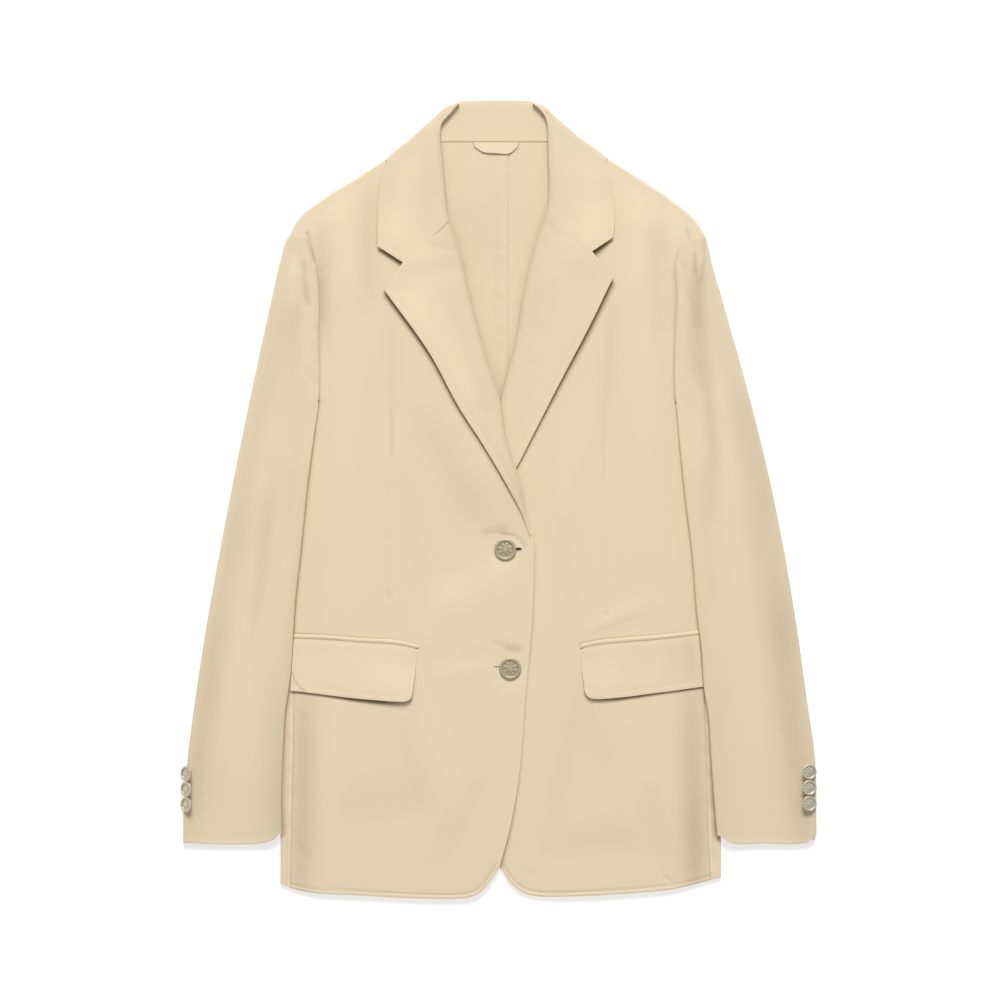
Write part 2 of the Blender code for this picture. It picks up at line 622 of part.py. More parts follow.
def collar():
    """One piece: a leg on the right front, a fold, the back run, a fold, and a leg on the left front."""
    plans = {side: collar_rows(side) for side in OUTLINES}
    legs = {side: collar_grid(*plan) for side, plan in plans.items()}
    share = np.linspace(0.0, 1.0, 8)[:, None, None]
    stand = (1 - share) * plans["right"][0][-1] + share * plans["left"][0][-1]
    fall = (1 - share) * plans["right"][2][-1] + share * plans["left"][2][-1]
    arch = ROLL_ARCH * ease(6 * np.minimum(share, 1 - share))[..., 0]
    fall[:, 0, 1] += arch[:, 0]
    stand[:, -1, 1] += arch[:, 0]
    stand_height = np.full(stand.shape[:2], STAND_REST)
    fall_height = np.full(fall.shape[:2], COLLAR_REST)
    back_run = collar_grid(stand, stand_height, fall, fall_height)
    folds = {}
    for side, row in (("right", 0), ("left", -1)):
        line = plans[side][2][-1]
        along = line[-1] - line[0]
        outward = np.array([along[1], -along[0]]) * -OUTLINES[side]["sign"]
        outward = outward / np.linalg.norm(outward)
        folds[side] = collar_fold(legs[side][-1], back_run[row], outward, 5)
    parts = [legs["right"], folds["right"], back_run, folds["left"][::-1], legs["left"][::-1]]
    return cloth("collar", np.concatenate(parts), DOUBLE_WALL)


def sleeve_lines(side):
    """The sleeve's folds and seams, a point for each row from the shoulder to the cuff.

    Gives its edge on the front with the inner fold below it, the outer fold and the two seams beneath.
    """
    outline = OUTLINES[side]
    sign = outline["sign"]
    tip = shoulder_edge(side)[0]
    armhole = beside(armhole_seam(side), -sign * SEAM / 2)[CAP_STEPS:]
    notch = armhole[-1, 1]
    below = np.linspace(ELBOW_TOP, outline["sleeve_outer"][-1][1], CUFF_STEPS + 1)
    below = np.concatenate([[notch, (notch + ELBOW_TOP) / 2], below])
    heights = np.concatenate([np.linspace(tip[-1, 1], notch, ARMHOLE_STEPS + 1)[:-1], below])
    outer = at_heights(outline["sleeve_outer"], heights)
    outer = beside(outer, sign * (SLEEVE_OUTER_LOFT / 2 + WALL / 2))
    outer[0] = tip[-1] + (tip[-1] - tip[-2]) * 2 * SEAM / np.linalg.norm(tip[-1] - tip[-2])
    heights[0] = outline["outer_seam"][0][1]
    outer_seam = at_heights(outline["outer_seam"], heights)
    below[-1] = outline["sleeve_inner"][-1][1]
    inner = at_heights(outline["sleeve_inner"], below)
    inner = beside(inner, -sign * (SLEEVE_INNER_LOFT / 2 + WALL / 2))
    inner = np.concatenate([armhole[:-1], inner])
    under_body = beside(at_heights(outline["body_edge"], below[UNDERARM_STEPS:]), -sign * SIDE_MARGIN)
    side_top = evenly(outline["side_top"], UNDERARM_STEPS)
    return inner, outer, outer_seam, np.concatenate([side_top[:-1], under_body])


def sleeve_top(side):
    """The upper sleeve, from its seam under the outer fold to its seam under the inner fold."""
    outline = OUTLINES[side]
    sign = outline["sign"]
    inner, outer, outer_seam, inner_seam = sleeve_lines(side)
    seam = beside(armhole_seam(side), -sign * SEAM / 2)[: CAP_STEPS + 1]
    seam[0] = outer[0]
    cap = np.repeat(seam, 2, axis=0)[:-1]
    cap[1::2] = (seam[:-1] + seam[1:]) / 2
    cuff = evenly(outline["cuff"], 2 * CAP_STEPS)
    cuff[0] = outer[-1]
    cuff[-1] = inner[-1]
    flat = patch(cap, cuff, outer, inner)
    across = np.linspace(0.0, 1.0, flat.shape[1])[None, :]
    upper = raised(flat, sleeve_top_height(flat[..., 0], flat[..., 1], side, across))
    floor = np.full(len(outer), BACK_REST)
    rising = np.linspace(math.pi, 0, TURN_STEPS + 1)
    outward = normals(outer) * -sign
    outward[0] = shoulder_edge(side)[1][-1]
    outer_turn = half_turn(outer, outward, floor, upper[:, 0, 2], rising[:-1])
    strip = beside(outer_seam, -sign * SEAM / 2)
    outer_strip = raised(strip, floor)[:, None]
    low = sleeve_under_height(inner[:, 0], inner[:, 1], side)
    inner_turn = half_turn(inner, normals(inner) * sign, low, upper[:, -1, 2], rising[-2::-1])
    seam = np.concatenate([inner[:ARMHOLE_STEPS], beside(inner_seam, sign * SEAM / 2)])
    inner_strip = raised(seam, sleeve_under_height(seam[:, 0], seam[:, 1], side))[:, None]
    grid = np.concatenate([outer_strip, outer_turn, upper, inner_turn, inner_strip], axis=1)
    left_out = (slice(0, ARMHOLE_STEPS), slice(grid.shape[1] - TURN_STEPS - 2, None))
    return cloth("sleeve_top_" + side, grid, left_out=left_out)


def sleeve_under(side):
    """The strip beneath, from the upper sleeve's outer seam to the armhole and its inner seam."""
    sign = OUTLINES[side]["sign"]
    outer_seam, inner_seam = sleeve_lines(side)[2:]
    outer_edge = beside(outer_seam, sign * SEAM / 2)
    armhole = back_armhole_seam(side)[2:-1]
    seam = np.concatenate([armhole, inner_seam])
    inner_edge = beside(seam, -sign * SEAM)
    ramp_foot = beside(seam, -sign * RAMP_WIDTH)
    narrow = abs(ramp_foot[:, 0]) > abs(outer_edge[:, 0]) - RAMP_WIDTH / 2
    ramp_foot[narrow] = (outer_edge[narrow] + inner_edge[narrow]) / 2
    flat = np.stack([outer_edge, (outer_edge + ramp_foot) / 2, ramp_foot, (ramp_foot + inner_edge) / 2,
                     inner_edge], axis=1)
    heights = sleeve_under_height(flat[..., 0], flat[..., 1], side)
    return cloth("sleeve_under_" + side, raised(flat, heights))


def strip_between(upper, lower, columns, rows):
    """Rows evenly spaced from an upper edge to a lower one."""
    share = np.linspace(0.0, 1.0, rows + 1)[:, None, None]
    return (1 - share) * evenly(upper, columns)[None] + share * evenly(lower, columns)[None]


def welt(side):
    flat = strip_between(POCKETS[side]["upper"], POCKETS[side]["seam"], FLAP_STEPS, 1)
    heights = front_height(flat[..., 0], flat[..., 1], side) + WELT_RISE
    return cloth("welt_" + side, raised(flat, heights))


def flap(side):
    """Made from the front's own surface, moved out, and free below its welt."""
    top = [(x, y - 2 * SEAM) for x, y in POCKETS[side]["seam"]]
    flat = strip_between(top, POCKETS[side]["flap"], FLAP_STEPS, 3)
    heights = front_height(flat[..., 0], flat[..., 1], side) + LAID_RISE
    return cloth("flap_" + side, raised(flat, heights), DOUBLE_WALL)


def hanger_loop():
    flat = strip_between(HANGER_LOOP["upper"], HANGER_LOOP["lower"], 8, 2)
    heights = back_height(flat[..., 0], flat[..., 1]) + WELT_RISE
    return cloth("hanger_loop", raised(flat, heights))


def button_profile(diameter, thickness, shank):
    """A dished face inside a raised rim, on a short shank; height 0 is the shank's foot."""
    r = diameter / 2
    foot = shank + thickness
    return [
        (0.0, foot - 0.5),
        (r * 0.78, foot - 0.6),
        (r * 0.84, foot),
        (r * 0.94, foot),
        (r, foot - thickness * 0.4),
        (r * 0.88, shank),
        (r * 0.3, shank),
        (r * 0.25, 0.0),
        (0.0, 0.0),
    ]


def front_buttons():
    for name, place in FRONT_BUTTONS.items():
        button = turned(name, button_profile(FRONT_BUTTON_DIAMETER, 2.4, 0.9), 24)
        button.location = (place["x"] * MM, place["y"] * MM, place["foot"] * MM)


def cuff_buttons():
    for side, place in CUFF_BUTTONS.items():
        for number, y in enumerate(place["rows"], 1):
            name = f"cuff_button_{side}_{number}"
            button = turned(name, button_profile(CUFF_BUTTON_DIAMETER - 0.3, 1.9, 0.5), 16)
            button.location = (place["x"] * MM, y * MM, place["z"] * MM)
            button.rotation_euler = (0.0, math.radians(place["lean"]), 0.0)


def main():
    for old in list(bpy.data.objects):
        bpy.data.objects.remove(old, do_unlink=True)
    bpy.context.scene.collection.children.link(bpy.data.collections.new("blazer"))
    for side in OUTLINES:
        back(side)
        side_panel(side)
        front(side)
        lapel(side)
        sleeve_top(side)
        sleeve_under(side)
        welt(side)
        flap(side)
    collar()
    hanger_loop()
    front_buttons()
    cuff_buttons()


main()
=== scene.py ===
import math

import bpy
import numpy as np
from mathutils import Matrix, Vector


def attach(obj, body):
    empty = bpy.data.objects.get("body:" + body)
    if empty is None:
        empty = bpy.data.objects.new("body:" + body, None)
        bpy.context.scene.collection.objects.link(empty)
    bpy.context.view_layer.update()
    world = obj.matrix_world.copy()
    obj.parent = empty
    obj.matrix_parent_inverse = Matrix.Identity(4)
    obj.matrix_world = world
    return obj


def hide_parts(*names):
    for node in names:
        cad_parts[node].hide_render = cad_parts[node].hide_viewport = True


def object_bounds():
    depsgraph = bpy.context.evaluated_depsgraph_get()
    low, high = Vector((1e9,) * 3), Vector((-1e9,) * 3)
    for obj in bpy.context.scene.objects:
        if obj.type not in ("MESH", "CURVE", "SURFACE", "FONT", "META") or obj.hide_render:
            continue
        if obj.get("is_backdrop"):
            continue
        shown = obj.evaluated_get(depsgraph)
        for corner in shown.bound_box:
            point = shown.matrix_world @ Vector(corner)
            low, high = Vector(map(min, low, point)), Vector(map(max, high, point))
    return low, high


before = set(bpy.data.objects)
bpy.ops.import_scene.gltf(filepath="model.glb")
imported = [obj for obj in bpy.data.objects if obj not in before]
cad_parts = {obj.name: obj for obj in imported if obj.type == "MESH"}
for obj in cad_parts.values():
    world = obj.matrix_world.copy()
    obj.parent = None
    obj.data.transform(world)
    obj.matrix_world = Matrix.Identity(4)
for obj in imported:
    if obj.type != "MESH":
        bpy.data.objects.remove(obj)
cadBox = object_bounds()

mm = 0.001  # every size and place below is in millimetres
layers = {  # the cloth's walls, and the heights of each layer's middle above the floor
    "wall": 1.0, "doubleWall": 1.3, "trimWall": 0.8, "seam": 0.08, "back": 0.5, "front": 4.2, "sideFold": 3.0,
    "sleeveOuterLoft": 4.2, "sleeveInnerLoft": 3.0, "notchFlat": 2.0, "sleeveOverBody": 4.15,
}
halfSeam = layers["seam"] / 2
endSteps = (0.01, 0.03, 0.06)  # close rows beside an edge, which keep its rim crisp


# lines: arrays of (x, y)

def smoothLine(points, count=900):  # a cubic Hermite line through the points, slopes from their neighbours
    knots = np.array(points, float)
    along = np.concatenate([[0.0], np.cumsum(np.linalg.norm(np.diff(knots, axis=0), axis=1))])
    slopes = np.gradient(knots, along, axis=0)
    fine = np.linspace(0.0, along[-1], count + 1)
    span = np.clip(np.searchsorted(along, fine, side="right") - 1, 0, len(along) - 2)
    length = np.diff(along)[span][:, None]
    t = (fine - along[span])[:, None] / length
    start = knots[span] * (2 * t**3 - 3 * t**2 + 1) + slopes[span] * length * (t**3 - 2 * t**2 + t)
    end = knots[span + 1] * (3 * t**2 - 2 * t**3) + slopes[span + 1] * length * (t**3 - t**2)
    return start + end


def fractionsOf(line):  # how far along the line each point is, 0 to 1
    steps = np.linalg.norm(np.diff(line, axis=0), axis=1)
    return np.concatenate([[0.0], np.cumsum(steps)]) / steps.sum()


def alongLine(points, at):  # the points at those shares of a smooth line's length
    line = smoothLine(points)
    share = fractionsOf(line)
    return np.stack([np.interp(at, share, line[:, 0]), np.interp(at, share, line[:, 1])], axis=1)


def coarse(points, count=24):  # a smooth line as a few straight pieces, quick to measure from
    return alongLine(points, np.linspace(0.0, 1.0, count + 1))


def unit(vectors):
    return vectors / np.maximum(np.linalg.norm(vectors, axis=-1), 1e-9)[..., None]


def normalsOf(line):  # unit normals, to the right of the way that the line runs
    ahead = unit(np.gradient(line, axis=0))
    return np.stack([ahead[:, 1], -ahead[:, 0]], axis=1)


def beside(line, distance):
    return line + normalsOf(line) * distance


def edgeLine(stretches, t):  # stretch after stretch; each covers its number of steps of t
    line = np.zeros((len(t), 2))
    start = 0.0
    for points, steps in stretches:
        here = (t >= start - 1e-9) & (t <= start + steps + 1e-9)
        line[here] = alongLine(points, (t[here] - start) / steps)
        start += steps
    return line


def pinned(line, first, last, reach=0.25):  # the line's ends drawn to those points, eased off over the reach
    share = fractionsOf(line)[:, None]
    started = line + (first - line[0]) * (1 - ease(share / reach))
    return started + (last - line[-1]) * (1 - ease((1 - share) / reach))


def xAt(points, y):  # where a line that runs down the body is, at the heights y
    line = smoothLine(points)
    line = line[np.argsort(line[:, 1])]
    return np.interp(y, line[:, 1], line[:, 0])


def atHeights(points, y):
    return np.stack([xAt(points, y), y], axis=1)


def spaced(total, step, near=()):  # even steps from 0 to total, with closer ones near both ends
    even = np.linspace(0.0, total, int(round(total / step)) + 1)
    return np.unique(np.round(np.concatenate([even, near, total - np.array(near)]), 6))


def nearestOn(x, y, path):  # the distance to a path of straight pieces, and where along it that is, 0 to 1
    knots = np.array(path, float)
    shares = fractionsOf(knots)
    nearest, place = np.full(np.shape(x), np.inf), np.zeros(np.shape(x))
    for (ax, ay), (bx, by), first, last in zip(knots[:-1], knots[1:], shares[:-1], shares[1:]):
        length = max((bx - ax) ** 2 + (by - ay) ** 2, 1e-9)
        t = np.clip(((x - ax) * (bx - ax) + (y - ay) * (by - ay)) / length, 0.0, 1.0)
        distance = np.hypot(x - ax - t * (bx - ax), y - ay - t * (by - ay))
        place = np.where(distance < nearest, first + t * (last - first), place)
        nearest = np.minimum(nearest, distance)
    return nearest, place


def distanceTo(x, y, path):
    return nearestOn(x, y, path)[0]


# shapes of two parameters, on a grid of rows and columns

def patch(first, last, left, right):  # Coons surface: rows from first to last, columns from left to right
    across = ((fractionsOf(first) + fractionsOf(last)) / 2)[None, :, None]
    down = ((fractionsOf(left) + fractionsOf(right)) / 2)[:, None, None]
    rows = (1 - down) * first[None] + down * last[None]
    columns = (1 - across) * left[:, None] + across * right[:, None]
    corners = (1 - down) * ((1 - across) * first[0] + across * first[-1])
    return rows + columns - (corners + down * ((1 - across) * last[0] + across * last[-1]))


def ruled(left, right, shares):  # straight rows between two edges
    share = np.array(shares)[None, :, None]
    return (1 - share) * left[:, None] + share * right[:, None]


def stripBetween(upper, lower, shares, down):  # straight columns between two smooth lines
    down = np.array(down)[:, None, None]
    return (1 - down) * alongLine(upper, shares)[None] + down * alongLine(lower, shares)[None]


def ease(value):  # 0 below 0, 1 above 1, smooth between
    t = np.clip(value, 0.0, 1.0)
    return t * t * (3 - 2 * t)


def ramp(value, span):  # eased from 0 at the span's start to 1 after its reach, downwards if that is below 0
    return ease((value - span[0]) / span[1])


def bell(value, middle, width):  # exp(-((value - middle) / width)^2)
    return np.exp(-(((value - middle) / width) ** 2))


def raised(flat, heights):
    return np.concatenate([flat, heights[..., None]], axis=-1)


def halfTurn(centre, outward, low, high, angles):  # round a fold, from 0 at its upper side to pi at its lower
    turn = np.array(angles)
    radius = ((high - low) / 2)[:, None]
    flat = centre[:, None] + outward[:, None] * (radius * np.sin(turn))[..., None]
    return raised(flat, ((high + low) / 2)[:, None] + radius * np.cos(turn))


# looks of the cloth: its rise and its painted shade, a painted highlight where below 0, stacked as one array

waves = ((1.0, 4.1, 1.0), (0.8, 2.63, 2.1), (0.6, 7.3, 0.7))  # height, length and share of the seed
seamLook = {"groove": 0.9, "dark": 0.16}


def ripple(along, seed):  # an uneven wave from -1 to 1, the sum of three sines of unlike length
    return sum(size * np.sin(along / length + share * seed) for size, length, share in waves) / 2.4


def foldLook(x, y, folds):
    # ridges and troughs: rise and dark times exp(-(aside / width)^2 - (along / length)^4), where dark is
    # painted shade on the fold, and a painted highlight below 0; the lean is in degrees, from +Y towards +X
    look = np.zeros((2, *np.shape(x)))
    for middleX, middleY, length, width, rise, lean, dark in folds:
        turn = math.radians(lean)
        along = (x - middleX) * math.sin(turn) + (y - middleY) * math.cos(turn)
        aside = (x - middleX) * math.cos(turn) - (y - middleY) * math.sin(turn)
        look += np.multiply.outer([rise, dark], np.exp(-((aside / width) ** 2) - (along / length) ** 4))
    return look


def creaseLook(x, y, creases):  # narrow troughs along paths: exp(-(distance / width)^2) times -depth and dark, which is painted shade in the trough
    look = np.zeros((2, *np.shape(x)))
    for path, width, depth, dark in creases:
        look += np.multiply.outer([-depth, dark], bell(distanceTo(x, y, path), 0, width))
    return look


def seamRise(distance, along, seed, depth, pull, reach, dark=seamLook["dark"]):
    # a stitched seam: a narrow groove at it with painted shade in it, and puckers that fade over the reach
    groove = bell(distance, 0, seamLook["groove"])
    pucker = ripple(along, seed) * np.exp(-distance / reach) * (1 - groove)
    return np.array([-depth * groove + pull * pucker, dark * groove])


def beads(distance, looks):  # ridges and grooves beside an edge: rise, how far in and how wide
    return sum(rise * bell(distance, inward, width) for rise, inward, width in looks)


def shadeAlong(x, y, points, count, looks, power=3, tip=None):
    # a painted shadow line, measured as that count of straight pieces: dark * exp(-(distance / width)^power),
    # with the (width, dark) eased along it, and faded out at a tip, which is given as its place and reach
    nearest, place = nearestOn(x, y, coarse(points, count))
    steps = np.linspace(0.0, 1.0, len(looks))
    width, dark = (np.interp(place, steps, values) for values in zip(*looks))
    dark = dark * np.exp(-((nearest / width) ** power))
    return dark if tip is None else dark * ease(abs(place - tip[0]) / tip[1])


# finishes

finish = {
    "cloth": {
        "colour": (0.836, 0.699, 0.493, 1.0), "warp": (0.86, 0.721, 0.511, 1.0),
        # shade is the colour of painted shade, towards which the attribute mixes the cloth
        "cloud": (0.70, 0.56, 0.36, 1.0), "shade": (0.18, 0.12, 0.042, 1.0),
        "roughness": 0.82, "sheen": 0.02, "sheenRoughness": 0.5, "gloss": 0.22,
        "threadPitch": 0.00052, "slubScale": (900.0, 45.0), "slubTint": 0.45, "cloudScale": 9.0,
        "cloudTint": 0.07,
        "fibreScale": 1500.0, "relief": {"weave": 0.5, "slub": 0.6, "fibre": 0.35}, "bump": (0.28, 0.00008),
        "plain": 0.08,  # the value of the painted shade attribute for cloth that is painted neither paler nor darker
    },
    # shade is the colour of the patina, and of the painted shade on the buttons
    "metal": {"colour": (0.75, 0.64, 0.44, 1.0), "shade": (0.20, 0.16, 0.10, 1.0), "roughness": 0.4},
    # painted reflection: a paler copy of the aged metal for the cuff buttons, which reflect more light
    "litCuffMetal": {"colour": (0.93, 0.86, 0.68, 1.0), "shade": (0.33, 0.28, 0.17, 1.0), "roughness": 0.32},
    "aged": {"metallic": 0.75, "patinaScale": 700.0, "patina": 0.55, "patinaRough": 0.22, "pitScale": 2600.0,
             "pits": 0.4, "bump": (0.5, 0.00015)},
    "thread": {"colour": (0.90, 0.80, 0.62), "roughness": 0.6},
    # painted shade: the near-black colour of the sheet inside the buttonhole slits
    "slitShade": {"colour": (0.06, 0.045, 0.025), "roughness": 0.9},
    "plain": {"noiseScale": 1800.0, "shade": 0.8},
}


def newMaterial(name):
    material = bpy.data.materials.new(name)
    material.use_nodes = True
    return material, material.node_tree, material.node_tree.nodes["Principled BSDF"]


def setInputs(tree, inputs, values):  # links the sockets among the values and sets the numbers
    for socket, value in zip(inputs, values):
        if isinstance(value, bpy.types.NodeSocket):
            tree.links.new(value, socket)
        elif value is not None:
            socket.default_value = value


def mathNode(tree, kind, first, second=None):
    node = tree.nodes.new("ShaderNodeMath")
    node.operation = kind
    setInputs(tree, node.inputs, (first, second))
    return node.outputs[0]


def scaled(tree, value, factor):
    return mathNode(tree, "MULTIPLY", value, factor)


def mixNode(tree, share, first, second):
    node = tree.nodes.new("ShaderNodeMix")
    node.data_type = "RGBA"
    setInputs(tree, (node.inputs[0], node.inputs[6], node.inputs[7]), (share, first, second))
    return node.outputs[2]


def noiseNode(tree, vector, scale, detail):
    node = tree.nodes.new("ShaderNodeTexNoise")
    inputs = [node.inputs[name] for name in ("Vector", "Scale", "Detail")]
    setInputs(tree, inputs, (vector, scale, detail))
    return node.outputs["Fac"]


def stretched(tree, vector, scale):
    node = tree.nodes.new("ShaderNodeMapping")
    setInputs(tree, (node.inputs["Scale"], node.inputs["Vector"]), ((*scale, 1.0), vector))
    return node.outputs["Vector"]


def paintedShade(tree, colour, shade):  # painted shade: mixed towards the shade colour by the piece's attribute of painted shade and tone
    node = tree.nodes.new("ShaderNodeAttribute")
    node.attribute_name = "painted_shade_and_tone"
    return mixNode(tree, node.outputs["Fac"], colour, shade)


def placeOf(tree):
    return tree.nodes.new("ShaderNodeTexCoord").outputs["Object"]


def bumped(tree, shader, height, look):  # look is the bump's strength and distance
    node = tree.nodes.new("ShaderNodeBump")
    setInputs(tree, (node.inputs["Strength"], node.inputs["Distance"], node.inputs["Height"]), (*look, height))
    tree.links.new(node.outputs["Normal"], shader.inputs["Normal"])


def clothMaterial(name, look):
    # plain weave: sin(u) * sin(v) at the thread pitch lifts the surface; slubs run along both threads
    material, tree, shader = newMaterial(name)
    uv = tree.nodes.new("ShaderNodeUVMap")
    uv.uv_map = "grain"
    grain = uv.outputs["UV"]
    parts = tree.nodes.new("ShaderNodeSeparateXYZ")
    tree.links.new(grain, parts.inputs[0])
    turn = 2 * math.pi / look["threadPitch"]
    weft, warp = (mathNode(tree, "SINE", scaled(tree, parts.outputs[i], turn)) for i in (0, 1))
    slubs = [noiseNode(tree, stretched(tree, grain, look["slubScale"][::way]), 1.0, 2.0) for way in (1, -1)]
    slub = mathNode(tree, "ADD", *slubs)
    place = placeOf(tree)
    tint = mixNode(tree, scaled(tree, slub, look["slubTint"]), look["colour"], look["warp"])
    cloud = scaled(tree, noiseNode(tree, place, look["cloudScale"], 3.0), look["cloudTint"])
    cloudy = mixNode(tree, cloud, tint, look["cloud"])
    # painted shade and painted highlights: the colour is mixed towards the shade colour by the attribute, paler
    # where it is below the plain value
    tree.links.new(paintedShade(tree, cloudy, look["shade"]), shader.inputs["Base Color"])
    shader.inputs["Roughness"].default_value = look["roughness"]
    shader.inputs["Sheen Weight"].default_value = look["sheen"]
    shader.inputs["Sheen Roughness"].default_value = look["sheenRoughness"]
    shader.inputs["Specular IOR Level"].default_value = look["gloss"]
    relief = look["relief"]
    weave = scaled(tree, scaled(tree, weft, warp), relief["weave"])
    fibre = scaled(tree, noiseNode(tree, place, look["fibreScale"], 2.0), relief["fibre"])
    height = mathNode(tree, "ADD", weave, scaled(tree, slub, relief["slub"]))
    bumped(tree, shader, mathNode(tree, "ADD", height, fibre), look["bump"])
    return material


def metalMaterial(name, look, aged):
    # aged metal: patina from fine noise, and darker where the attribute says so, which is patina in the hollows
    # and painted shade on the outer rim and underside; polished on the raised parts
    material, tree, shader = newMaterial(name)
    place = placeOf(tree)
    patina = noiseNode(tree, place, aged["patinaScale"], 5.0)
    pits = scaled(tree, noiseNode(tree, place, aged["pitScale"], 3.0), aged["pits"])
    worn = mixNode(tree, scaled(tree, patina, aged["patina"]), look["colour"], look["shade"])
    # painted shade and patina: the patinated colour is mixed again towards the shade colour by the attribute
    tree.links.new(paintedShade(tree, worn, look["shade"]), shader.inputs["Base Color"])
    rough = mathNode(tree, "ADD", scaled(tree, patina, aged["patinaRough"]), look["roughness"])
    tree.links.new(rough, shader.inputs["Roughness"])
    shader.inputs["Metallic"].default_value = aged["metallic"]
    bumped(tree, shader, mathNode(tree, "ADD", patina, pits), aged["bump"])
    return material


def plainMaterial(name, look, noise):
    material, tree, shader = newMaterial(name)
    shade = [part * noise["shade"] for part in look["colour"]]
    grain = noiseNode(tree, placeOf(tree), noise["noiseScale"], 2.0)
    tree.links.new(mixNode(tree, grain, (*look["colour"], 1.0), (*shade, 1.0)), shader.inputs["Base Color"])
    shader.inputs["Roughness"].default_value = look["roughness"]
    return material


materials = {
    "cloth": clothMaterial("cream_suiting", finish["cloth"]),
    "metal": metalMaterial("aged_metal", finish["metal"], finish["aged"]),
    "litCuffMetal": metalMaterial("painted_lit_metal", finish["litCuffMetal"], finish["aged"]),
    "thread": plainMaterial("silk_thread", finish["thread"], finish["plain"]),
    "slitShade": plainMaterial("slit_shade", finish["slitShade"], finish["plain"]),
}
print("materials made")


# meshes

rim = {"width": 0.2, "segments": 2, "angle": 50}


def newMesh(name, points, faces, painted_shade_and_tone, uv=None):
    mesh = bpy.data.meshes.new(name)
    mesh.from_pydata((points * mm).tolist(), [], faces)
    mesh.validate()
    # the attribute holds painted shade and painted highlights, with some uneven tone on the cloth and patina on
    # the buttons
    mesh.attributes.new("painted_shade_and_tone", "FLOAT", "POINT").data.foreach_set("value", painted_shade_and_tone.astype(np.float32).ravel())
    if uv is not None:
        corners = (uv[np.array(faces).ravel()] * mm).astype(np.float32)
        mesh.uv_layers.new(name="grain").data.foreach_set("uv", corners.ravel())
    mesh.shade_smooth()
    return mesh


def grainOf(grid):  # the cloth unrolled: x and y of each row's and column's start, plus the way along it
    step = np.diff(grid, axis=1)
    way = np.sign(grid[:, -1, 0] - grid[:, 0, 0])[:, None]
    across = np.cumsum(np.hypot(step[..., 0], step[..., 2]), axis=1) * way
    u = grid[:, :1, 0] + np.concatenate([np.zeros((len(grid), 1)), across], axis=1)
    step = np.diff(grid, axis=0)
    down = -np.cumsum(np.hypot(step[..., 1], step[..., 2]), axis=0)
    v = grid[:1, :, 1] + np.concatenate([np.zeros((1, grid.shape[1])), down], axis=0)
    return np.stack([u, v], axis=-1).reshape(-1, 2)


def gridFaces(rows, columns, leftOut=None):
    first = np.arange(rows - 1)[:, None] * columns + np.arange(columns - 1)[None, :]
    faces = np.stack([first, first + 1, first + columns + 1, first + columns], axis=-1)
    kept = np.ones(first.shape, bool)
    if leftOut is not None:
        kept[leftOut] = False
    return faces[kept]


def walled(piece, wall, offset=0.0):  # half the wall to each side, or all of it inside at an offset of -1
    shell = piece.modifiers.new("wall", "SOLIDIFY")
    shell.thickness = wall * mm
    shell.offset = offset


def settle(name, mesh, material, node):
    piece = bpy.data.objects.new(name, mesh)
    bpy.context.scene.collection.objects.link(piece)
    mesh.materials.append(materials[material])
    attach(piece, "root")
    if node:
        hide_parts(node)
    return piece


def clothPiece(name, grid, painted_shade_and_tone, wall, leftOut=None):
    rows, columns = grid.shape[:2]
    faces = gridFaces(rows, columns, leftOut)
    used = np.unique(faces)
    fresh = np.zeros(rows * columns, int)
    fresh[used] = np.arange(len(used))
    # painted shade, and painted highlights where the value is below the plain one
    tone = np.clip(finish["cloth"]["plain"] + painted_shade_and_tone, 0, 1).reshape(-1)[used]
    mesh = newMesh(name + "_cloth", grid.reshape(-1, 3)[used], fresh[faces].tolist(), tone, grainOf(grid)[used])
    piece = settle(name + "_cloth", mesh, "cloth", name)
    walled(piece, wall)
    soft = piece.modifiers.new("soft_rim", "BEVEL")
    soft.width = rim["width"] * mm
    soft.segments = rim["segments"]
    soft.limit_method = "ANGLE"
    soft.angle_limit = math.radians(rim["angle"])
    return piece
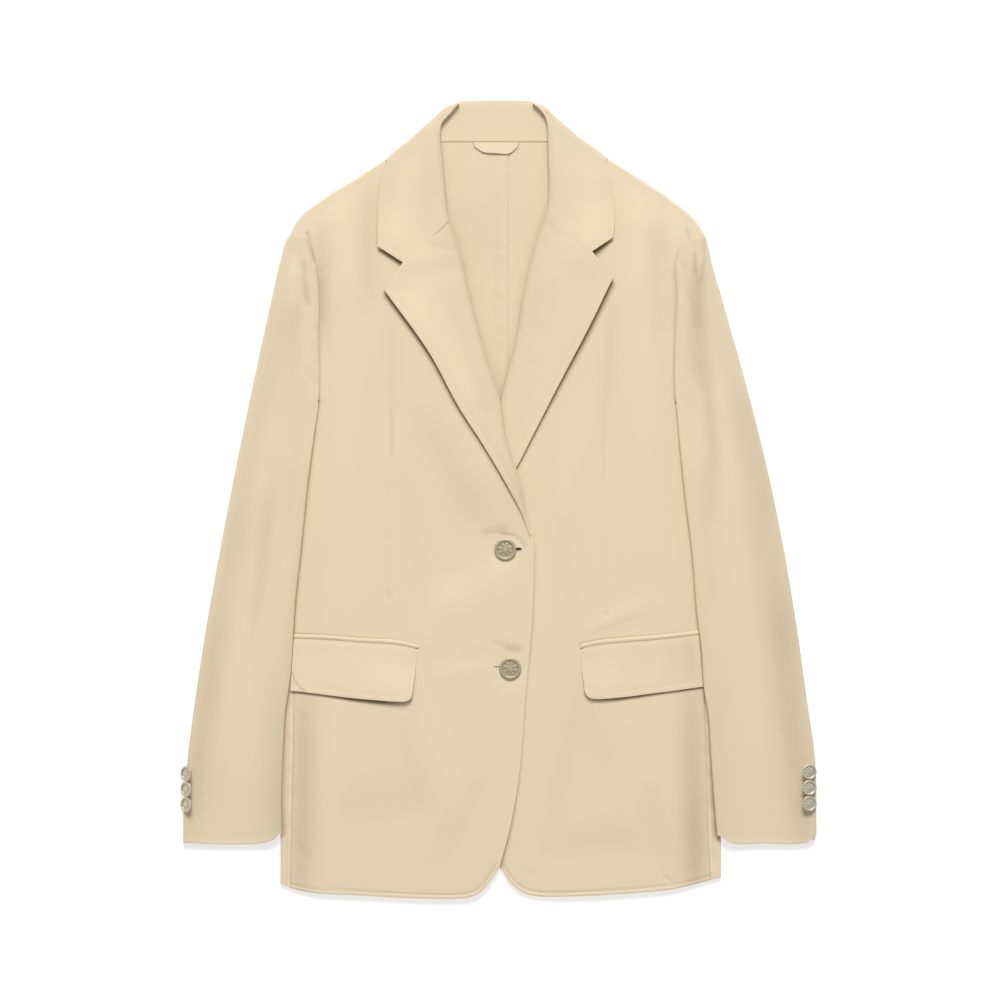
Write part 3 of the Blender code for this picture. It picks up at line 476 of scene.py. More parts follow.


# the body; a fold is (x, y, half length, half width, rise, lean, dark), a crease is (path, half width, depth,
# dark), a shade is a list of (width, dark), where dark is painted shade and below 0 a painted highlight, and a
# pair beside a ramp is where it starts and its reach

body = {
    "right": {
        "sign": -1,
        "shoulder": [(-84, 348), (-97.3, 337.2), (-109.5, 328.8), (-116, 324.7), (-124, 319.5), (-141, 309),
            (-172, 289.5), (-195, 270), (-202, 257)],
        "cap": [(-202, 257), (-190.5, 253), (-182, 241.5)],
        "armhole": [(-182, 241.5), (-177, 222), (-174.6, 193), (-175, 154), (-174, 120), (-175, 94)],
        "armholeShade": [(2.0, 0.02), (6.5, 0.17), (5.5, 0.17), (3.0, 0.12), (1.5, 0.18), (1.5, 0.1)],
        "underarm": [(-175, 94), (-178.5, 84), (-187, 71)],
        "sideSeam": [(-187, 71), (-190, 20), (-197, -59), (-199.5, -136), (-199.6, -227), (-201.7, -316),
            (-202.6, -377)],
        "bodyEdge": [(-199, 72), (-206, -59), (-210, -185), (-212, -300), (-212.4, -373)],
        "frontEdge": [(32, -34.4), (32.9, -39), (33.6, -46), (33.5, -62), (31.5, -119), (25.7, -187),
            (18, -276), (10, -320), (0.3, -356)],
        "corner": [(0.3, -356), (-8.6, -370.2), (-14, -376.8), (-19, -381.4), (-25.5, -384.8),
            (-32.5, -386.8)],
        "hem": [(-32.5, -386.8), (-42, -387.5), (-58, -387.5), (-135, -384), (-190.6, -380), (-202.6, -377)],
        "armholeSeed": 1.3, "sideSeed": 0.4,
        "folds": [(-127, 238, 58, 9, -0.9, 0, 0.085), (-151, 250, 58, 12, 0.9, -3, -0.035),
            (-170, 200, 60, 7.5, -0.8, -3, 0.115), (-50, 24, 62, 19, -1.1, -27, 0.065),
            (-4, -32.4, 13, 4.4, -0.7, 78, 0.11), (12.5, -146, 9.5, 4.4, -0.6, 96, 0.16),
            (-2, -140.5, 7, 3.0, -0.3, 100, 0.05), (5.6, -50.4, 13.6, 13, -0.5, 0, -0.06),
            (10.4, -166, 13, 12.6, -0.4, 0, -0.05), (-157, 286, 50, 16, 0.0, 57, -0.055),
            (-22, -90, 42, 20, 0.9, 62, -0.035), (-62, -112, 34, 18, 0.6, 20, -0.02),
            (-104.6, 126, 46, 7.2, -0.5, 0, 0.055), (-84, -40, 60, 13, -0.5, -8, 0.02),
            (-150, 60, 80, 15, 0.7, 0, -0.015), (-121, 40, 90, 11, -0.4, 0, 0.012),
            (-144, -70, 58, 16, 0.5, 4, -0.012), (-16, -153, 18, 7, -0.3, 84, 0.025),
            (-30, -165, 30, 9, 0.5, 78, -0.02), (-191.5, -290, 102, 12.5, -0.3, 1, 0.2),
            (-182, -120, 70, 9, -0.3, 3, 0.03), (-110, -300, 46, 28, -0.8, 80, 0.035),
            (-58, -252, 66, 14, 0.7, -16, -0.015), (-88, -262, 48, 10, -0.5, -12, 0.02),
            (-40, -318, 50, 13, -0.5, 28, 0.03), (-152, -236, 60, 14, 0.6, 3, -0.02)],
        "creases": [([(-104.4, 83), (-104.6, 43)], 2.0, 0.3, 0.1),
            ([(-105, 40), (-107.6, 10), (-107.8, -30), (-107.2, -90)], 1.4, 0.25, 0.018),
            ([(-106.4, -34), (-106.2, -38)], 1.5, 0.2, 0.05),
            ([(-109.2, -89), (-105.6, -96.5)], 1.9, 0.45, 0.1),
            ([(-186.0, 257), (-183.4, 245), (-180.4, 231)], 2.3, 0.7, 0.2),
            ([(2.4, -34.3), (8.5, -34.4), (14.5, -36.1), (19.4, -39.6), (24.6, -45.4)], 1.7, 0.5, 0.22),
            ([(10, -37.4), (15, -39.4), (18, -41.6)], 2.4, -0.4, -0.08),
            ([(14.6, -45.4), (19, -45.6)], 1.6, -0.3, -0.1), ([(18, -39.4), (27, -44)], 1.4, 0.22, 0.05),
            ([(20, -63), (31, -63)], 1.4, 0.2, 0.03), ([(22, -72), (31, -71)], 1.4, 0.18, 0.02),
            ([(-26, -157), (-14, -160), (-2, -161.4)], 2.6, 0.14, 0.02),
            ([(-196, -205), (-188, -214)], 2.6, 0.25, 0.03),
            ([(-193, -336), (-188, -344), (-184, -350)], 2.4, 0.25, 0.04)],
    },
    "left": {
        "sign": 1,
        "shoulder": [(79.6, 347.2), (94.6, 336), (105, 328.9), (112, 324.7), (120, 319.7), (137, 309),
            (166, 289.5), (189, 270), (198, 256)],
        "cap": [(198, 256), (184.8, 251.5), (175, 244)],
        "armhole": [(175, 244), (171, 232), (171.6, 199), (169.8, 154), (169.1, 115), (170.7, 92)],
        "armholeShade": [(1.5, 0.0), (3.6, 0.17), (3.6, 0.19), (2.0, 0.14), (1.5, 0.18), (1.5, 0.08)],
        "overlapShade": [(1.3, 0.1), (1.5, 0.16), (1.9, 0.22), (1.4, 0.1), (1.4, 0.12), (1.6, 0.18),
            (2.0, 0.34), (2.4, 0.5)],
        "underarm": [(170.7, 92), (174, 82), (183, 71)],
        "sideSeam": [(183, 71), (188, 0), (194, -70), (197.5, -136), (198.5, -193), (200.3, -248),
            (202.8, -336), (204.8, -369)],
        "bodyEdge": [(196, 72), (205, -59), (210, -185), (213.5, -260), (214.7, -333), (214.7, -367)],
        "frontEdge": [(-15.4, -16.3), (-18, -35), (-19, -62), (-19, -137), (-16, -195), (-12, -253),
            (-7, -311), (-0.5, -356)],
        "corner": [(-0.5, -356), (3.9, -361.8), (9.7, -370.8), (15.5, -376.6), (21.3, -380.6), (26, -382.8),
            (30.6, -384.2)],
        "hem": [(30.6, -384.2), (36.5, -385.2), (46, -385.7), (62.6, -385.3), (137, -381.2), (173, -377.3),
            (188.7, -373.4), (204.8, -369)],
        "armholeSeed": 2.9, "sideSeed": 1.9,
        "folds": [(154, 205, 62, 11, -0.9, 0, 0.06), (132, 245, 50, 12, 0.8, 4, -0.03),
            (106.4, 136, 46, 6.4, -0.6, 3, 0.085), (138, 120, 90, 12, 0.6, -2, -0.02),
            (102, 74, 30, 6, -0.4, 1, 0.02), (166, 60, 90, 12, -0.5, -4, 0.02),
            (66, 20, 70, 15, 0.6, 16, -0.015), (62, -70, 60, 13, -0.5, -10, 0.02),
            (44, -96, 50, 11, 0.4, 12, -0.015), (118, -113, 34, 9, 0.6, 64, -0.01),
            (188, -285, 112, 13.5, -0.3, -1, 0.2), (191, -335, 48, 12, -0.1, -1, 0.07),
            (144, 286, 62, 20, 0.0, -57, -0.06), (98, -240, 36, 24, -0.4, -30, 0.03),
            (180, -110, 70, 10, -0.3, -3, 0.035), (118, -252, 70, 20, 0.7, -8, -0.01),
            (66, -250, 84, 14, -0.6, 12, 0.03), (30, -215, 66, 11, 0.4, 6, -0.01),
            (92, -338, 50, 18, -0.6, 84, 0.03), (152, -322, 44, 12, -0.5, -14, 0.04)],
        "creases": [([(101.6, 88), (100.6, 52), (101.2, 19)], 1.7, 0.3, 0.085),
            ([(101.2, 16), (101, -40), (102.3, -112)], 1.4, 0.25, 0.014),
            ([(102.6, -111), (103.4, -114)], 1.8, 0.4, 0.06),
            ([(97, -128), (110, -123.5), (126, -117)], 3.4, 0.2, 0.025),
            ([(181.8, 259), (184.4, 250)], 1.9, 0.5, 0.12), ([(160, -366), (168, -371)], 1.8, 0.35, 0.06),
            ([(186, -330), (196, -338)], 2.2, 0.15, 0.02), ([(190, -290), (199, -296)], 2.2, 0.15, 0.02),
            ([(182, -362), (193, -353)], 2.4, 0.15, 0.02), ([(28, -362), (36, -366)], 2.2, 0.2, 0.03)],
    },
}

frontLook = {
    "sideDip": (4, 50), "sideDipBelow": (115, -30), "neckRise": 0.6, "neckFrom": (285, 35),
    "overRise": 0.6, "overAcross": (-60, 38), "underDip": 1.2, "underAcross": (62, -24),
    "underBelow": (215, -60),
    "crossingRise": 2.45, "crossingAcross": (-58, 38), "crossingBelow": (190, -90),
    "crossingAbove": (-44, 74),
    "edgeBead": [(0.14, 2.2, 1.5), (-0.12, 5.2, 1.3)], "hemBead": [(0.32, 1.7, 1.2), (-0.34, 4.4, 0.9)],
    "hemShade": 0.19, "armholeSeam": (0.3, 0.16, 6.0, 0.096), "sideSeam": (0.3, 0.2, 6.0),
    "sidePuckers": (60, -30),
    "neckGap": 0.3, "rollGap": 0.6, "shoulderGap": 0.1, "rollEdgeShade": 0.34, "rollSteps": 7,
    "rowStep": 0.07, "rowsNear": (0.01, 0.028, 0.05, 0.075), "pocketRows": (15.2, 18.5, 0.035),
    "columnStep": 0.0108, "columnsNear": (0.0014, 0.004, 0.0075, 0.011),
    "lapelTip": (0, 0.028), "collarTip": (1, 0.22), "weltShade": [(1.5, 0.32), (1.3, 0.26), (1.2, 0.08)],
}


def insideEdge(x, y, side):  # how far inside the body's fold
    return abs(xAt(body[side]["bodyEdge"], y)) - abs(x)


def frontHeight(x, y, side):
    look = frontLook
    dip = (1 - ramp(insideEdge(x, y, side), look["sideDip"])) * ramp(y, look["sideDipBelow"])
    height = layers["front"] - (layers["front"] - layers["sideFold"]) * dip
    height = height + look["neckRise"] * ramp(y, look["neckFrom"])
    if side == "right":
        height = height + look["overRise"] * ramp(x, look["overAcross"])
        crossing = ramp(x, look["crossingAcross"]) * ramp(y, look["crossingBelow"])
        crossing = crossing * ramp(y, look["crossingAbove"])
        height = height + look["crossingRise"] * crossing
    else:
        height = height - look["underDip"] * ramp(x, look["underAcross"]) * ramp(y, look["underBelow"])
    return height + foldLook(x, y, body[side]["folds"])[0]


def shoulderEdge(side, shares):  # the middle line of the shoulder's turn, its outward way and its radius
    shoulder = alongLine(body[side]["shoulder"], shares)
    outward = normalsOf(shoulder) * -body[side]["sign"]
    x, y = shoulder[:, 0], shoulder[:, 1]
    radius = (frontHeight(x, y, side) - backHeight(x, y) - frontLook["shoulderGap"]) / 2
    return shoulder - outward * radius[:, None], outward, radius


def tipOf(side):  # the end of the shoulder's turn, where the sleeve begins, and the way the shoulder runs
    line, outward, _ = shoulderEdge(side, np.linspace(0.0, 1.0, 41))
    return line[-1], unit(line[-1] - line[-2]), outward[-1]


def armholeSeam(side, t):  # cap over 3 steps, drawn to the shoulder's end, then armhole over 5
    line = edgeLine([(body[side]["cap"], 3), (body[side]["armhole"], 5)], t)
    return line + (tipOf(side)[0] - body[side]["cap"][0]) * (1 - ease(t / 3))[:, None]


def backArmholeSeam(side, t):  # cap over 2 steps and armhole over 5
    line = edgeLine([(backLines[side]["cap"], 2), (backLines[side]["armhole"], 5)], t)
    return line + (tipOf(side)[0] - backLines[side]["cap"][0]) * np.clip(1 - t / 2, 0, 1)[:, None]


def shoulderRoll(edge, outward, heights, seamHeight):  # a quarter turn from the panel to its seam
    away = seamHeight - heights
    angles = np.linspace(0.0, math.pi / 2, frontLook["rollSteps"] + 1)[:0:-1]
    flats = [edge + outward * (abs(away) * math.sin(a))[:, None] for a in angles]
    return np.stack([raised(flat, heights + away * (1 - math.cos(a))) for flat, a in zip(flats, angles)])


def frontPiece(side):
    lines, look, sign = body[side], frontLook, body[side]["sign"]
    lapel, collar, pocket, sleeve = lapelLines[side], collarLines[side], pockets[side], sleeveLines[side]
    rows = np.union1d(spaced(24.0, look["rowStep"], look["rowsNear"]), np.arange(*look["pocketRows"]))
    shares = spaced(1.0, look["columnStep"], look["columnsNear"])
    top, outward, radius = shoulderEdge(side, shares)
    outer = edgeLine([(lines["cap"], 3), (lines["armhole"], 5), (lines["underarm"], 2),
                      (lines["sideSeam"], 14)], rows)
    cap = rows <= 8
    outer[cap] = armholeSeam(side, rows[cap])
    outer = beside(outer, sign * halfSeam)
    top[-1] = outer[0]
    neck = beside(coarse(collar["neck"], 30)[::-1], -sign * look["neckGap"])
    neck = pinned(neck, top[0], neck[-1], 1.0)
    roll = beside(coarse(lapel["roll"], 60), -sign * (rollInset + look["rollGap"]))[:-1]
    join = [tuple(roll[-1]), lines["frontEdge"][0]]
    inner = edgeLine([(neck, 4), (roll, 8), (join, 1), (lines["frontEdge"], 7), (lines["corner"], 4)], rows)
    hem = alongLine(lines["hem"], shares)
    hem[-1], hem[0] = outer[-1], inner[-1]
    flat = patch(top, hem, inner, outer)
    x, y = flat[..., 0], flat[..., 1]
    height = frontHeight(x, y, side)
    # painted shade of the folds, and painted highlights where it is below 0
    dark = foldLook(x, y, lines["folds"])[1]
    fromHem = distanceTo(x, y, np.concatenate([coarse(lines["corner"], 14), coarse(lines["hem"], 14)]))
    fromSeam, fromSleeve = (distanceTo(x, y, coarse(lines[name], 20)) for name in ("sideSeam", "armhole"))
    seam = seamRise(fromSeam, y, lines["sideSeed"], *look["sideSeam"])
    seam[0] *= ramp(y, look["sidePuckers"])
    rise, shade = creaseLook(x, y, lines["creases"]) + seam + seamRise(
        fromSleeve, y, lines["armholeSeed"], *look["armholeSeam"])
    height = height + rise + beads(fromHem, look["hemBead"])
    height = height + beads(distanceTo(x, y, coarse(lines["frontEdge"], 24)), look["edgeBead"])
    # painted shade in the seams, the creases and the groove above the hem
    dark = dark + shade + look["hemShade"] * bell(fromHem, *look["hemBead"][1][1:])
    # painted shadows: beneath the lapel's, collar's and flap's edges and the sleeve, and along the welt, the
    # armhole and the overlapping front edge
    shades = [
        (lapel["edge"], 30, lapel["contactShadow"], 3, look["lapelTip"]),
        (collar["end"], 4, collar["contactShadow"], 3, look["collarTip"]),
        (collar["edge"], 16, collar["edgeShadow"]), (pocket["flap"], 30, pocket["contactShadow"]),
        (pocket["upper"], 20, look["weltShade"]), (lines["armhole"], 20, lines["armholeShade"], 2),
        (sleeve["inner"], 30, sleeve["bodyShade"], 2),
    ]
    if side == "left":
        shades.append((body["right"]["frontEdge"], 24, lines["overlapShade"]))
    dark = dark + sum(shadeAlong(x, y, *shade) for shade in shades)
    grid = raised(flat, height)
    turned = shoulderRoll(top, outward, grid[0, :, 2], grid[0, :, 2] - radius)
    # painted shade on the shoulder's turn, darkest at its outer side
    turnShade = look["rollEdgeShade"] * np.linspace(1.0, 0.0, len(turned))[:, None]
    dark = np.concatenate([dark[:1] + turnShade, dark])
    return clothPiece("front_" + side, np.concatenate([turned, grid]), dark, layers["wall"])


backLines = {
    "neckSeamY": 346.3, "centreSeamX": 8.5, "hemY": -352.0, "centreRows": [(1, 326), (2, 306)],
    "right": {
        "cap": [(-202, 257), (-193, 247), (-184, 228)],
        "armhole": [(-184, 228), (-180, 193), (-179, 154), (-178, 120), (-181, 100)],
        "sideTop": [(-181, 100), (-190, 86), (-199, 72)],
        "seam": [(-181, 100), (-172, 60), (-165, 0), (-161, -100), (-160, -200), (-161, -373)],
        "hem": [(8.5, -352), (-100, -366), (-161, -373)],
        "folds": [(-28, 252, 34, 22, -0.25, 0, 0.035), (-80, 120, 110, 16, 0.35, 5, 0.03),
            (-120, -180, 120, 18, 0.4, -4, 0.03), (-50, -120, 90, 12, 0.3, 14, 0.02)],
        "creases": [([(-10, 246.5), (6, 244.6)], 1.6, 0.4, 0.06), ([(-8, 231), (6, 229.6)], 1.5, 0.3, 0.04),
            ([(-3, 217), (7, 216)], 1.4, 0.3, 0.03), ([(-4, 201), (7, 203)], 1.8, -0.3, 0.0),
            ([(-5, 190), (7, 191)], 1.7, -0.35, 0.0), ([(-3, 196), (7, 197)], 1.3, 0.3, 0.05),
            ([(-2, 164), (8, 162)], 1.4, 0.3, 0.05)],
    },
    "left": {
        "cap": [(198, 256), (189, 247), (180, 228)],
        "armhole": [(180, 228), (176, 193), (175, 154), (174, 120), (177, 100)],
        "sideTop": [(177, 100), (187, 86), (196, 72)],
        "seam": [(177, 100), (169, 60), (163, 0), (160, -100), (159, -200), (160, -369)],
        "hem": [(8.5, -352), (100, -364), (160, -369)],
        "folds": [(90, 60, 130, 17, 0.35, -6, 0.03), (70, -240, 90, 15, 0.4, 9, 0.03),
            (120, -90, 70, 13, 0.3, -12, 0.02)],
        "creases": [],
    },
}

backLook = {
    "neckRise": 1.8, "neckFrom": (225, 92), "neckWidth": (136, -20), "neckGap": 0.3, "rowStep": 0.14,
    "columnStep": 0.2,
    "columnsNear": (0.01, 0.03, 0.06, 0.1, 0.15), "deepest": 0.25, "seamBlend": 20, "seamShade": (0.12, 0.8),
    "rollShade": (0.09, 4.0), "loopShade": [(1.0, 0.2), (1.4, 0.4), (1.0, 0.2)],
    "allowance": 10.5, "allowanceEdge": 1.6, "allowanceRise": 0.35, "allowanceBelow": (345, -12),
    "allowanceShade": (0.03, 1.1), "puckers": 0.2, "puckersBelow": (262, -20), "puckersAbove": (150, 20),
}


def backHeight(x, y):
    rise = backLook["neckRise"] * ramp(y, backLook["neckFrom"]) * ramp(abs(x), backLook["neckWidth"])
    return layers["back"] + rise


def backPiece(side):
    lines, look, sign = backLines[side], backLook, body[side]["sign"]
    middle, neckY = backLines["centreSeamX"], backLines["neckSeamY"] - backLook["neckGap"]
    rows = spaced(21.0, look["rowStep"], endSteps)
    columns = spaced(11.0, look["columnStep"], look["columnsNear"])
    top, outward, radius = shoulderEdge(side, np.clip((columns - 3) / 8, 0, 1))
    onNeck = columns < 3
    top[~onNeck & (columns <= 3.001), 1] = neckY
    start = top[~onNeck][0, 0]
    neckX = middle + (start - middle) * columns[onNeck] / 3
    top[onNeck] = np.stack([neckX, np.full(len(neckX), neckY)], axis=1)
    outer = edgeLine([(lines["cap"], 2), (lines["armhole"], 5), (lines["seam"], 14)], rows)
    cap = rows <= 7
    outer[cap] = backArmholeSeam(side, rows[cap])
    outer = beside(outer, sign * halfSeam)
    top[-1] = outer[0]
    centreY = np.interp(rows, *zip((0, neckY), *backLines["centreRows"], (21, backLines["hemY"])))
    centre = np.stack([np.full(len(rows), middle), centreY], axis=1)
    hem = alongLine(lines["hem"], columns / 11)
    hem[-1] = outer[-1]
    flat = patch(top, hem, centre, outer)
    flat[..., 0] += sign * halfSeam * (1 - ease(abs(flat[..., 0] - middle) / look["seamBlend"]))
    x, y = flat[..., 0], flat[..., 1]
    rise, dark = creaseLook(x, y, lines["creases"])
    height = backHeight(x, y) + np.maximum(rise, -look["deepest"])
    fromSeam = abs(x - middle)
    deep, width = look["seamShade"]
    beneath = np.minimum(fromRoll(x, y, "right"), fromRoll(x, y, "left"))
    # painted shade of the folds, along the centre seam, beneath the lapels' and collar's rolls and under the
    # hanger loop
    dark = dark + foldLook(x, y, lines["folds"])[1] + deep * bell(fromSeam, 0, width)
    dark = dark + look["rollShade"][0] * np.exp(-beneath / look["rollShade"][1])
    dark = dark + shadeAlong(x, y, hangerLoop["lower"], 12, look["loopShade"])
    if side == "right":  # the seam's allowance is pressed this way and shows as a low strip
        strip = ramp(fromSeam, (look["allowance"], -look["allowanceEdge"]))
        pull = ramp(y, look["puckersBelow"]) * ramp(y, look["puckersAbove"])
        height = height + look["allowanceRise"] * strip * ramp(y, look["allowanceBelow"])
        height = height + look["puckers"] * (1 + ripple(y, 0.6)) * pull * strip
        # painted shade along the allowance's edge
        deep, width = look["allowanceShade"]
        dark = dark + deep * bell(fromSeam, look["allowance"], width)
    grid = raised(flat, height)
    turned = np.repeat(grid[:1], frontLook["rollSteps"], axis=0)
    ends = grid[0, ~onNeck, 2]
    turned[:, ~onNeck] = shoulderRoll(top[~onNeck], outward[~onNeck], ends, ends + radius[~onNeck])
    leftOut = (slice(0, len(turned)), slice(0, int(onNeck.sum())))
    dark = np.concatenate([np.repeat(dark[:1], len(turned), axis=0), dark])
    return clothPiece("back_" + side, np.concatenate([turned, grid]), dark, layers["wall"], leftOut)


sidePanel = {
    "rowStep": 0.1, "underStep": 0.07, "turnSteps": 10,
    "upperShares": (0.0, 0.04, 0.1, 0.18, 0.28, 0.4, 0.55, 0.7, 0.85),
    "puckers": {"right": 0.16, "left": 0.32}, "seamDepth": 0.3, "seamReach": 9.0, "edgeShade": 0.1,
    "glint": 0.18, "glintPlace": (1.5, 1.1), "glintBelow": (-190, -20), "mottle": {"right": 0.0,
    "left": 0.05},
}


def sidePiece(side):
    lines, look, sign = body[side], sidePanel, body[side]["sign"]
    share = spaced(14.0, look["rowStep"], endSteps) / 14
    radius = (layers["sideFold"] - layers["back"]) / 2
    fold = beside(alongLine(lines["bodyEdge"], share), sign * (radius + layers["wall"] / 2))
    start = beside(alongLine(lines["sideSeam"], share), -sign * halfSeam)
    upper = ruled(start, fold, look["upperShares"])
    x, y = upper[..., 0], upper[..., 1]
    fromSeam = np.linalg.norm(upper - start[:, None], axis=2)
    rise, dark = seamRise(fromSeam, y, lines["sideSeed"], look["seamDepth"], look["puckers"][side],
                          look["seamReach"])
    low, high = np.full(len(fold), layers["back"]), np.full(len(fold), layers["sideFold"])
    angles = np.linspace(0, math.pi, look["turnSteps"] + 1)[:-1]
    turn = halfTurn(fold, normalsOf(fold) * -sign, low, high, angles)
    backEdge = beside(alongLine(backLines[side]["seam"], share), -sign * halfSeam)
    shares = spaced(1.0, look["underStep"], endSteps[:2])
    top = pinned(alongLine(backLines[side]["sideTop"][::-1], shares), fold[0], backEdge[0])
    under = patch(top, ruled(fold[-1:], backEdge[-1:], shares)[0], fold, backEdge)
    lower = raised(under, np.full(under.shape[:2], layers["back"]))
    grid = np.concatenate([raised(upper, frontHeight(x, y, side) + rise), turn, lower], axis=1)
    # painted shade of the folds and of the sleeve's shadow
    soft = foldLook(x, y, lines["folds"])[1]
    soft = soft + shadeAlong(x, y, sleeveLines[side]["inner"], 30, sleeveLines[side]["bodyShade"], 2)
    # painted highlight along the seam's ridge
    glint = bell(fromSeam, *look["glintPlace"]) * (0.8 + 0.5 * ripple(y, 5.0)) * ramp(y, look["glintBelow"])
    shade = np.zeros(grid.shape[:2])
    count = upper.shape[1]
    shade[:, :count] = dark - look["glint"] * glint + soft + look["mottle"][side] * ripple(y, 4.0)
    shade[:, count : count + look["turnSteps"] // 2] = soft[:, -1:]
    # painted shade on the far edge of the fold
    shade[:, -1] += look["edgeShade"]
    return clothPiece("side_" + side, grid, shade, layers["wall"])


# lapels and collar

lapelLines = {
    "right": {
        "roll": [(-48, 269), (-38.5, 241), (-28, 195), (-11, 132), (1, 95), (7.2, 59), (16.2, 29), (21.2, 14),
            (25, -6), (28, -20), (31.6, -34.8)],
        "gorge": [(-48, 269), (-93.6, 229)], "notch": [(-93.6, 229), (-112, 203)],
        "edge": [(-112, 203), (-67, 140), (-38.3, 87.3), (-14.8, 50.7), (8.7, 10.8), (21.5, -14), (25.5, -24),
            (29.2, -35.2)],
        "edgeLift": 1.8, "contactShadow": [(4.2, 0.66), (3.8, 0.64), (3.2, 0.6), (2.6, 0.5), (1.2, 0.0)],
        "folds": [(-84, 196, 44, 24, 0.5, 10, -0.04), (-58, 222, 34, 8, -0.4, 82, 0.02),
            (-27, 128, 66, 9, -0.5, -20, 0.035), (-52, 130, 60, 11, 0.4, -30, -0.02),
            (-6, 46, 44, 8, -0.3, -26, 0.03)],
        "creases": [([(-49, 268), (-55, 262), (-60.6, 256.6)], 1.6, 0.35, 0.09),
            ([(-67.4, 246.4), (-54, 243.2), (-40.3, 241.8)], 1.9, 0.4, 0.055),
            ([(-22, 88), (-10, 82)], 3.2, 0.25, 0.02)],
    },
    "left": {
        "roll": [(43, 273), (32.5, 240.6), (22.8, 199), (15, 153), (6.3, 119), (0.5, 95), (-5, 62), (-10, 25),
            (-15, -14)],
        "gorge": [(43, 273), (89.7, 239.6)], "notch": [(89.7, 239.6), (110, 214.4)],
        "edge": [(110, 214.4), (88, 169), (58.7, 113), (32.2, 61.3), (16.4, 30.7), (-2, 4), (-10.5, -14)],
        "edgeLift": 1.6, "contactShadow": [(4.6, 0.7), (4.4, 0.66), (3.4, 0.6), (2.0, 0.45), (0.8, 0.2)],
        "folds": [(44, 178, 30, 15, -0.4, 12, 0.02), (78, 190, 50, 24, 0.5, 16, 0.012),
            (26, 96, 44, 9, -0.3, 18, 0.02)],
        "creases": [([(44, 270), (52, 262), (57, 254)], 1.8, 0.25, 0.03),
            ([(28, 128), (38, 134)], 3.4, 0.25, 0.02)],
    },
}

rollLook = {  # how the lapels and the collar turn over and rest on the fronts, and their painted shade beside and on the roll
    "rise": 2.6, "laidRise": 1.7, "reach": 22.0, "endRise": 0.95, "endReach": 44.0,
    "drop": 0.35, "dropReach": 7.0, "dark": 0.16, "fade": 2.2, "turnShade": 0.2,
}
rollInset = rollLook["rise"] / 2 + layers["doubleWall"] / 2
lapelLook = {
    "rowStep": 0.085, "columnStep": 0.125, "columnsNear": (0.012, 0.03, 0.06),
    "edgeBead": [(0.12, 2.4, 1.6), (-0.1, 5.6, 1.4)], "liftReach": 42.0, "leastLift": 0.55,
    "liftAbove": (70, 110),
    "liftFrom": (-8, 30), "turnSteps": 11, "darkReach": 30, "leastTone": 0.2, "toneReach": 110,
}


def fromRoll(x, y, side):
    roll = [coarse(lapelLines[side]["roll"], 40)[::-1], coarse(collarLines[side]["roll"], 30)]
    return distanceTo(x, y, np.concatenate(roll))


def rollRiseAt(y, side, full):  # the fold's rise, which flattens out towards the lapel's lower end
    end = lapelLines[side]["edge"][-1][1]
    return rollLook["endRise"] + (full - rollLook["endRise"]) * ramp(y, (end, rollLook["endReach"]))


def laidOnFront(x, y, side):
    away = np.maximum(fromRoll(x, y, side) - rollInset, 0)
    laid = rollRiseAt(y, side, rollLook["laidRise"])
    rise = laid + (rollRiseAt(y, side, rollLook["rise"]) - laid) * (1 - ease(away / rollLook["reach"]))
    return frontHeight(x, y, side) + rise - rollLook["drop"] * (1 - bell(away, 0, rollLook["dropReach"]))


def rollShade(flat, roll):  # painted shade beside the roll
    return rollLook["dark"] * np.exp(-np.linalg.norm(flat - roll[:, None], axis=2) / rollLook["fade"])


def edgeLift(distance, lift):  # a free edge stands a little off what it lies on
    return lift * ramp(distance, (lapelLook["liftReach"], -lapelLook["liftReach"]))


def lapelPiece(side):
    lines, look, sign = lapelLines[side], lapelLook, body[side]["sign"]
    share = spaced(8.0, look["rowStep"], endSteps) / 8
    centre = beside(alongLine(lines["roll"], share), -sign * rollInset)
    columns = spaced(5.0, look["columnStep"], look["columnsNear"])
    top = edgeLine([(lines["gorge"], 3), (lines["notch"], 2)], columns) - [0.0, halfSeam]
    top = pinned(top, centre[0], top[-1])
    end = ruled(centre[-1:], np.array(lines["edge"][-1:], float), fractionsOf(top))[0]
    outer = alongLine(lines["edge"], share)
    outer[0] = top[-1]
    flat = patch(top, end, centre, outer)
    x, y = flat[..., 0], flat[..., 1]
    freeEdge = [coarse(lines["edge"], 20)[::-1], coarse(lines["notch"], 6)[::-1]]
    fromEdge = distanceTo(x, y, np.concatenate(freeEdge))
    lift = look["leastLift"] + (1 - look["leastLift"]) * ramp(y, look["liftAbove"])
    lift = edgeLift(fromEdge, lines["edgeLift"] * lift * ramp(y, look["liftFrom"]))
    rise, dark = creaseLook(x, y, lines["creases"]) + foldLook(x, y, lines["folds"])
    height = laidOnFront(x, y, side) + lift + beads(fromEdge, look["edgeBead"]) + rise
    dark = dark + rollShade(flat, centre) * ramp(y, (y.min(), look["darkReach"]))
    low = frontHeight(centre[:, 0], centre[:, 1], side)
    high = low + rollRiseAt(centre[:, 1], side, rollLook["rise"])
    height[:, 0] = high
    angles = np.linspace(math.pi, 0, look["turnSteps"])[:-1]
    turn = halfTurn(centre, normalsOf(centre) * sign, low, high, angles)
    grid = np.concatenate([turn, raised(flat, height)], axis=1)
    # painted shade on the turned edge, fading out towards the lapel's lower end
    tone = ramp(centre[:, 1:2], (centre[-1, 1], look["toneReach"]))
    tone = look["leastTone"] + (1 - look["leastTone"]) * tone
    shade = np.concatenate([rollLook["turnShade"] * tone * np.ones(turn.shape[:2]), dark], axis=1)
    return clothPiece("lapel_" + side, grid, shade, layers["doubleWall"])


